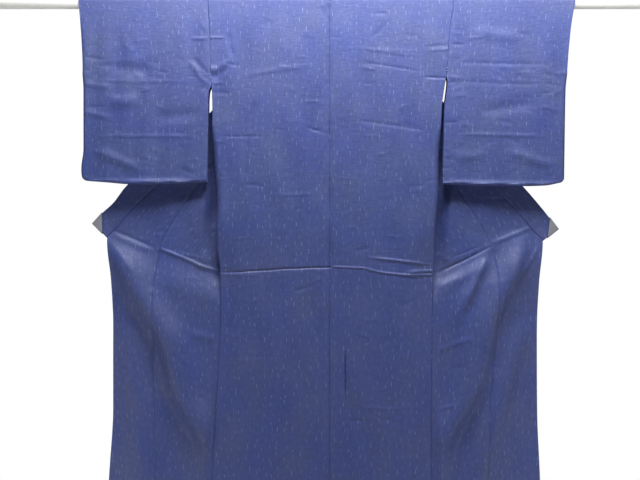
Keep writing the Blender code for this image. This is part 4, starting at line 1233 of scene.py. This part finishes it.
def rod():
    """The round rod with softly broken ends."""
    bm = bmesh.new()
    bmesh.ops.create_cone(
        bm, cap_ends=True, segments=ROD_SIDES, radius1=ROD_RADIUS, radius2=ROD_RADIUS, depth=ROD_LENGTH
    )
    bmesh.ops.rotate(bm, verts=bm.verts, cent=(0, 0, 0), matrix=Matrix.Rotation(math.pi / 2, 3, "Y"))
    rims = [edge for edge in bm.edges if any(len(face.verts) > 4 for face in edge.link_faces)]
    softened(bm, rims, ROD_BEVEL, ROD_BEVEL_STEPS)
    mesh = mesh_of(bm, "display_rod")
    obj = placed("display_rod", mesh, paint())
    mesh.set_sharp_from_angle(angle=ROD_SHARP)
    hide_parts("rod")


def tack(side, count):
    """A bar tack: short stitches across the lower end of the seam that holds a sleeve."""
    bm = bmesh.new()
    middle = (float(side.inner(TACK_TOP)) + float(side.side_x(TACK_TOP))) / 2
    for k in range(count):
        z = TACK_TOP - k * TACK_STEP
        turn = Matrix.Rotation(math.pi / 2, 4, "Y") @ Matrix.Rotation(TACK_LEAN * (-1) ** k, 4, "X")
        spot = Matrix.Translation((middle, -float(BACK_DEPTH(z)) - CLOTH / 2, z))
        bmesh.ops.create_cone(
            bm, cap_ends=True, segments=TACK_SIDES, radius1=TACK_RADIUS, radius2=TACK_RADIUS,
            depth=TACK_LENGTH, matrix=spot @ turn,
        )
    name = "bar_tack_" + side.name
    placed(name, mesh_of(bm, name), thread())


def fill(tree, node, values):
    """Inputs of a node take other sockets' outputs, or plain values."""
    for name, value in values.items():
        if isinstance(value, bpy.types.NodeSocket):
            tree.links.new(value, node.inputs[name])
        else:
            node.inputs[name].default_value = value


def new_node(tree, kind, values=None, **settings):
    """A new node with its settings and its filled inputs."""
    made = tree.nodes.new(kind)
    for name, value in settings.items():
        setattr(made, name, value)
    fill(tree, made, values or {})
    return made


def maths(tree, operation, *values):
    return new_node(tree, "ShaderNodeMath", dict(enumerate(values)), operation=operation).outputs[0]


def vector(tree, operation, values):
    return new_node(tree, "ShaderNodeVectorMath", values, operation=operation).outputs[0]


def scaled(tree, place, factors):
    """A place on the cloth multiplied by one factor for each way."""
    return vector(tree, "MULTIPLY", {0: place, 1: (*factors, 1.0)})


def noise(tree, place, kind):
    """A noise on the cloth, brought to the range from 0 to 1."""
    values = {"Vector": scaled(tree, place, (kind.across, kind.along)), "Scale": 1.0, "Detail": kind.detail}
    made = new_node(tree, "ShaderNodeTexNoise", values, noise_dimensions="2D")
    low, high = NOISE_RANGE
    spread = {"Value": made.outputs[0], "From Min": low, "From Max": high}
    return new_node(tree, "ShaderNodeMapRange", spread).outputs[0]


def summed(tree, start, shares, noises):
    """A start value with a share of each named noise added."""
    for name, share in shares.items():
        start = maths(tree, "MULTIPLY_ADD", noises[name], share, start)
    return start


def step_down(tree, value, near, far):
    """1 below near, 0 above far, and a smooth step between them."""
    values = {"Value": value, "From Min": near, "From Max": far, "To Min": 1.0, "To Max": 0.0}
    return new_node(tree, "ShaderNodeMapRange", values, interpolation_type="SMOOTHSTEP").outputs[0]


def group(name, outputs):
    """An empty node group fed with a place, its place socket and its output node."""
    tree = bpy.data.node_groups.new(name, "ShaderNodeTree")
    tree.interface.new_socket("Place", in_out="INPUT", socket_type="NodeSocketVector")
    for label in outputs:
        tree.interface.new_socket(label, in_out="OUTPUT", socket_type="NodeSocketFloat")
    place = tree.nodes.new("NodeGroupInput").outputs["Place"]
    return tree, place, tree.nodes.new("NodeGroupOutput")


def dash_group():
    """Short woven dashes along the warp, one in each uneven cell of the cloth."""
    tree, source, result = group("Woven dashes", ["Mask"])
    place = scaled(tree, source, (1 / DASH_CELL[0], 1 / DASH_CELL[1]))
    values = {"Vector": place, "Scale": 1.0, "Randomness": DASH_RANDOMNESS}
    cells = new_node(tree, "ShaderNodeTexVoronoi", values, voronoi_dimensions="2D")
    away = vector(tree, "SUBTRACT", {0: place, 1: cells.outputs["Position"]})
    split = new_node(tree, "ShaderNodeSeparateXYZ", {0: scaled(tree, away, DASH_CELL)})
    chance = new_node(tree, "ShaderNodeSeparateColor", {0: cells.outputs["Color"]})
    lean = maths(tree, "MULTIPLY", maths(tree, "SUBTRACT", chance.outputs[0], 0.5), DASH_LEAN)
    x = maths(tree, "SUBTRACT", split.outputs[0], maths(tree, "MULTIPLY", split.outputs[1], lean))
    across = maths(tree, "ABSOLUTE", x)
    along = maths(tree, "ABSOLUTE", split.outputs[1])
    low, high = DASH_HALF_LENGTH
    half = maths(tree, "MULTIPLY_ADD", chance.outputs[1], high - low, low)
    narrow = step_down(tree, across, *(DASH_HALF_WIDTH * share for share in DASH_SIDES))
    short = step_down(tree, along, maths(tree, "MULTIPLY", half, DASH_END), half)
    bright = maths(tree, "POWER", chance.outputs[2], DASH_BRIGHT_POWER)
    bright = maths(tree, "MULTIPLY_ADD", bright, 1 - DASH_DIMMEST, DASH_DIMMEST)
    mask = maths(tree, "MULTIPLY", maths(tree, "MULTIPLY", narrow, short), bright)
    fill(tree, result, {"Mask": mask})
    return tree


def thread_group():
    """Tone and height of a slightly slubbed weave: streaks, slubs, single threads and blotches; and Grey,
    random patches where the silk takes the greyer colour of a painted sheen.
    """
    tree, place, result = group("Slubbed threads", ["Tone", "Height", "Grey"])
    noises = {name: noise(tree, place, kind) for name, kind in NOISES.items()}
    tone = summed(tree, DARKEST_TONE, TONE_SHARES, noises)
    height = summed(tree, 0.0, HEIGHT_SHARES, noises)
    fill(tree, result, {"Tone": tone, "Height": height, "Grey": noises["grey"]})
    return tree


def grain_group():
    """Fine uneven grain of a painted or moulded surface."""
    tree, place, result = group("Fine grain", ["Tone", "Height"])
    small = new_node(tree, "ShaderNodeTexNoise", {"Vector": place, **SMALL_GRAIN})
    wide = new_node(tree, "ShaderNodeTexNoise", {"Vector": place, **WIDE_GRAIN})
    tone = maths(tree, "MULTIPLY_ADD", wide.outputs[0], *GRAIN_TONE)
    fill(tree, result, {"Tone": tone, "Height": small.outputs[0]})
    return tree


def placed_group(tree, made_by, name, place):
    """A shared effect in a material, built once, fed with the place on the surface."""
    made = bpy.data.node_groups.get(name) or made_by()
    return new_node(tree, "ShaderNodeGroup", {"Place": place}, node_tree=made)


def new_material(name):
    finish = bpy.data.materials.new(name)
    finish.use_nodes = True
    return finish, finish.node_tree, finish.node_tree.nodes["Principled BSDF"]


def silk():
    """Navy silk with woven dashes and random patches of painted sheen in a greyer colour, from the cloth's
    own map.
    """
    if "Navy silk" in bpy.data.materials:
        return bpy.data.materials["Navy silk"]
    colours = bpy.context.scene.kimono_colours
    finish, tree, shader = new_material("Navy silk")
    place = new_node(tree, "ShaderNodeUVMap", uv_map="Cloth").outputs[0]
    threads = placed_group(tree, thread_group, "Slubbed threads", place).outputs
    dashes = placed_group(tree, dash_group, "Woven dashes", place).outputs
    # Random patches take the greyer colour: painted sheen, mottled over the silk
    values = {0: threads["Grey"], 6: (*colours.silk, 1.0), 7: (*colours.sheen_grey, 1.0)}
    ground = new_node(tree, "ShaderNodeMix", values, data_type="RGBA")
    toned = vector(tree, "SCALE", {0: ground.outputs[2], "Scale": threads["Tone"]})
    cover = maths(tree, "MULTIPLY", dashes["Mask"], DASH_COVER)
    flecked = new_node(tree, "ShaderNodeMix", data_type="RGBA")
    fill(tree, flecked, {0: cover, 6: toned, 7: (*colours.dash, 1.0)})
    rough = maths(tree, "MULTIPLY_ADD", threads["Height"], THREAD_ROUGHNESS, SILK_ROUGHNESS)
    bump = new_node(tree, "ShaderNodeBump", {**SILK_BUMP, "Height": threads["Height"]}).outputs[0]
    fill(tree, shader, {"Base Color": flecked.outputs[2], "Roughness": rough, "Normal": bump})
    fill(tree, shader, {**SHEEN, "Specular IOR Level": SILK_SPECULAR})
    return finish


def grained(name, colour, roughness, stretched):
    """A finish with a fine grain, from the place in the object."""
    if name in bpy.data.materials:
        return bpy.data.materials[name]
    finish, tree, shader = new_material(name)
    source = new_node(tree, "ShaderNodeTexCoord").outputs["Object"]
    stretch = new_node(tree, "ShaderNodeMapping", {"Vector": source, "Scale": stretched})
    grain = placed_group(tree, grain_group, "Fine grain", stretch.outputs[0]).outputs
    toned = vector(tree, "SCALE", {0: colour, "Scale": grain["Tone"]})
    rough = maths(tree, "MULTIPLY_ADD", grain["Height"], GRAIN_ROUGHNESS, roughness)
    bump = new_node(tree, "ShaderNodeBump", {**GRAIN_BUMP, "Height": grain["Height"]}).outputs[0]
    fill(tree, shader, {"Base Color": toned, "Roughness": rough, "Normal": bump})
    return finish


def plastic():
    return grained("Frosted clip", bpy.context.scene.kimono_colours.clip, CLIP_ROUGHNESS, EVEN_GRAIN)


def paint():
    return grained("Rod paint", bpy.context.scene.kimono_colours.rod, PAINT_ROUGHNESS, DRAWN_GRAIN)


def thread():
    return grained("Pale thread", *THREAD_FINISH, EVEN_GRAIN)


def cloth_sizes():
    return bpy.context.scene.kimono_cloth


# What the settings of one sort have in common
LENGTH = {"subtype": "DISTANCE", "unit": "LENGTH", "precision": 4}
STITCHES = {"min": 1, "max": 8}
COLOUR = {"subtype": "COLOR", "size": 3, "min": 0.0, "max": 1.0}
POWER = {"unit": "POWER", "min": 0.0}


class KimonoCloth(bpy.types.PropertyGroup):
    wall: bpy.props.FloatProperty(
        name="Cloth wall", description="Thickness of the silk shells", default=0.0008,
        min=0.0003, max=0.0014, **LENGTH,
    )
    collar_wall: bpy.props.FloatProperty(
        name="Collar wall", description="Thickness of the folded collar", default=0.0013,
        min=0.0008, max=0.0026, **LENGTH,
    )
    waist_crease: bpy.props.FloatProperty(
        name="Waist crease", description="Depth of the storage crease at the waist", default=0.0034,
        min=0.0, max=0.005, **LENGTH,
    )
    left_stitches: bpy.props.IntProperty(
        name="Left stitches", description="Stitches in the left bar tack", default=4, **STITCHES,
    )
    right_stitches: bpy.props.IntProperty(
        name="Right stitches", description="Stitches in the right bar tack", default=2, **STITCHES,
    )


class KimonoColours(bpy.types.PropertyGroup):
    silk: bpy.props.FloatVectorProperty(
        name="Silk", description="Ground colour of the silk", default=(0.0315, 0.0525, 0.217),
        **COLOUR,
    )
    # Greyer colour of the random patches of painted sheen in the silk
    sheen_grey: bpy.props.FloatVectorProperty(
        name="Painted sheen grey", description="Greyer tone that comes and goes in the silk",
        default=(0.0475, 0.0670, 0.201), **COLOUR,
    )
    dash: bpy.props.FloatVectorProperty(
        name="Dashes", description="Colour of the woven dashes", default=(0.22, 0.27, 0.44),
        **COLOUR,
    )
    rod: bpy.props.FloatVectorProperty(
        name="Rod", description="Colour of the painted rod", default=(0.91, 0.91, 0.88),
        **COLOUR,
    )
    clip: bpy.props.FloatVectorProperty(
        name="Clips", description="Colour of the frosted corner clips", default=(0.22, 0.23, 0.26),
        **COLOUR,
    )
    floor: bpy.props.FloatVectorProperty(
        name="Floor", description="Colour of the studio floor", default=(0.80, 0.80, 0.79),
        **COLOUR,
    )


class KimonoLight(bpy.types.PropertyGroup):
    side: bpy.props.FloatProperty(
        name="Sides", description="Power of the lamp on each side", default=1.5,
        max=200.0, **POWER,
    )
    surround: bpy.props.FloatProperty(
        name="Surround", description="Light from the white surround, as a share of its look",
        default=0.10, min=0.0, max=3.0,
    )
    key: bpy.props.FloatProperty(
        name="Key", description="Power of the wide lamp high in front", default=83.0,
        max=500.0, **POWER,
    )
    rear: bpy.props.FloatProperty(
        name="Rear", description="Power of the wide lamp behind the rod, for the fronts", default=120.0,
        max=900.0, **POWER,
    )
    strip: bpy.props.FloatProperty(
        name="Strip", description="Power of the long lamp above the rod", default=11.5,
        max=200.0, **POWER,
    )


class KIMONO_OT_body(bpy.types.Operator):
    """Builds the two body widths, from the back hem over the rod to the front hem"""

    bl_idname = "kimono.body"
    bl_label = "Body widths"

    def execute(self, context):
        for side in SIDES:
            back(side)
            front(side)
        return {"FINISHED"}


class KIMONO_OT_overlaps(bpy.types.Operator):
    """Builds the overlap panels between the fronts and the collar"""

    bl_idname = "kimono.overlaps"
    bl_label = "Overlap panels"

    def execute(self, context):
        for side in SIDES:
            overlap(side)
        return {"FINISHED"}


class KIMONO_OT_sleeves(bpy.types.Operator):
    """Builds the two sleeves and the bar tacks that end their seams"""

    bl_idname = "kimono.sleeves"
    bl_label = "Sleeves"

    def execute(self, context):
        sizes = cloth_sizes()
        for side, stitches in ((LEFT, sizes.left_stitches), (RIGHT, sizes.right_stitches)):
            sleeve(side)
            tack(side, stitches)
        return {"FINISHED"}


class KIMONO_OT_collar(bpy.types.Operator):
    """Builds the collar from one end round the neck to the other"""

    bl_idname = "kimono.collar"
    bl_label = "Collar"

    def execute(self, context):
        collar()
        return {"FINISHED"}


class KIMONO_OT_rod(bpy.types.Operator):
    """Builds the painted rod and the two corner clips"""

    bl_idname = "kimono.rod"
    bl_label = "Rod and clips"

    def execute(self, context):
        rod()
        for side in SIDES:
            clip(side)
        return {"FINISHED"}


class KIMONO_OT_stage(bpy.types.Operator):
    """Sets up the pale floor, the soft light and the camera"""

    bl_idname = "kimono.stage"
    bl_label = "Studio"

    def execute(self, context):
        floor_plate()
        surround()
        lamps()
        camera()
        return {"FINISHED"}


def floor_plate():
    """A pale floor, brighter to the camera than in its light."""
    bm = bmesh.new()
    bmesh.ops.create_grid(bm, x_segments=1, y_segments=1, size=1.0)
    bmesh.ops.scale(bm, verts=bm.verts, vec=(*FLOOR_HALF, 1.0))
    bmesh.ops.translate(bm, verts=bm.verts, vec=(0.0, FLOOR_MIDDLE_Y, FLOOR_HEIGHT))
    finish, tree, shader = new_material("Studio floor")
    colour = (*bpy.context.scene.kimono_colours.floor, 1.0)
    seen = new_node(tree, "ShaderNodeLightPath").outputs["Is Camera Ray"]
    glow = {"Emission Color": colour, "Emission Strength": maths(tree, "MULTIPLY", seen, FLOOR_GLOW)}
    fill(tree, shader, {"Base Color": colour, "Roughness": FLOOR_ROUGHNESS, **glow})
    obj = linked("studio_floor", mesh_of(bm, "studio_floor"))
    obj.data.materials.append(finish)


def surround():
    """A white surround, whose light is a share of its look."""
    world = bpy.data.worlds.new("White surround")
    world.use_nodes = True
    tree = world.node_tree
    share = bpy.context.scene.kimono_light.surround
    seen = new_node(tree, "ShaderNodeLightPath").outputs["Is Camera Ray"]
    strength = maths(tree, "MULTIPLY_ADD", seen, 1.0 - share, share)
    fill(tree, tree.nodes["Background"], {"Color": WHITE, "Strength": strength})
    bpy.context.scene.world = world


def lamps():
    """Soft rectangular lamps that the camera doesn't see."""
    for lamp in LAMPS:
        light = bpy.data.lights.new(lamp.name, "AREA")
        light.shape = "RECTANGLE"
        light.size, light.size_y = lamp.size
        light.energy = getattr(bpy.context.scene.kimono_light, lamp.power)
        obj = linked(lamp.name, light)
        obj.location = lamp.place
        way = Vector(lamp.aim) - Vector(lamp.place)
        obj.rotation_euler = way.to_track_quat("-Z", "Y").to_euler()
        obj.visible_camera = False


def camera():
    """The photograph's view: level, with a long lens."""
    lens = bpy.data.cameras.new("Camera")
    lens.lens = CAMERA_LENS
    lens.sensor_width = CAMERA_SENSOR
    obj = linked("Camera", lens)
    obj.location = CAMERA_PLACE
    obj.rotation_euler = (math.pi / 2, 0.0, 0.0)
    bpy.context.scene.camera = obj
    bpy.context.scene.view_settings.view_transform = "Standard"


class KIMONO_PT_panel(bpy.types.Panel):
    """The kimono's sizes, colours and pieces"""

    bl_idname = "KIMONO_PT_panel"
    bl_label = "Kimono on a rod"
    bl_space_type = "VIEW_3D"
    bl_region_type = "UI"
    bl_category = "Kimono"

    def draw(self, context):
        scene = context.scene
        for values in (scene.kimono_cloth, scene.kimono_colours, scene.kimono_light):
            box = self.layout.box()
            for name in values.__annotations__:
                box.prop(values, name)
        for step in STEPS:
            self.layout.operator(step.bl_idname)


STEPS = (
    KIMONO_OT_rod,
    KIMONO_OT_body,
    KIMONO_OT_overlaps,
    KIMONO_OT_sleeves,
    KIMONO_OT_collar,
    KIMONO_OT_stage,
)
CLASSES = (KimonoCloth, KimonoColours, KimonoLight, *STEPS, KIMONO_PT_panel)


def register():
    for made in CLASSES:
        bpy.utils.register_class(made)
    bpy.types.Scene.kimono_cloth = bpy.props.PointerProperty(type=KimonoCloth)
    bpy.types.Scene.kimono_colours = bpy.props.PointerProperty(type=KimonoColours)
    bpy.types.Scene.kimono_light = bpy.props.PointerProperty(type=KimonoLight)


def unregister():
    del bpy.types.Scene.kimono_light
    del bpy.types.Scene.kimono_colours
    del bpy.types.Scene.kimono_cloth
    for made in reversed(CLASSES):
        bpy.utils.unregister_class(made)


def main():
    register()
    bpy.ops.kimono.rod()
    bpy.ops.kimono.body()
    bpy.ops.kimono.overlaps()
    bpy.ops.kimono.sleeves()
    bpy.ops.kimono.collar()
    bpy.ops.kimono.stage()


if __name__ == "__main__":
    main()
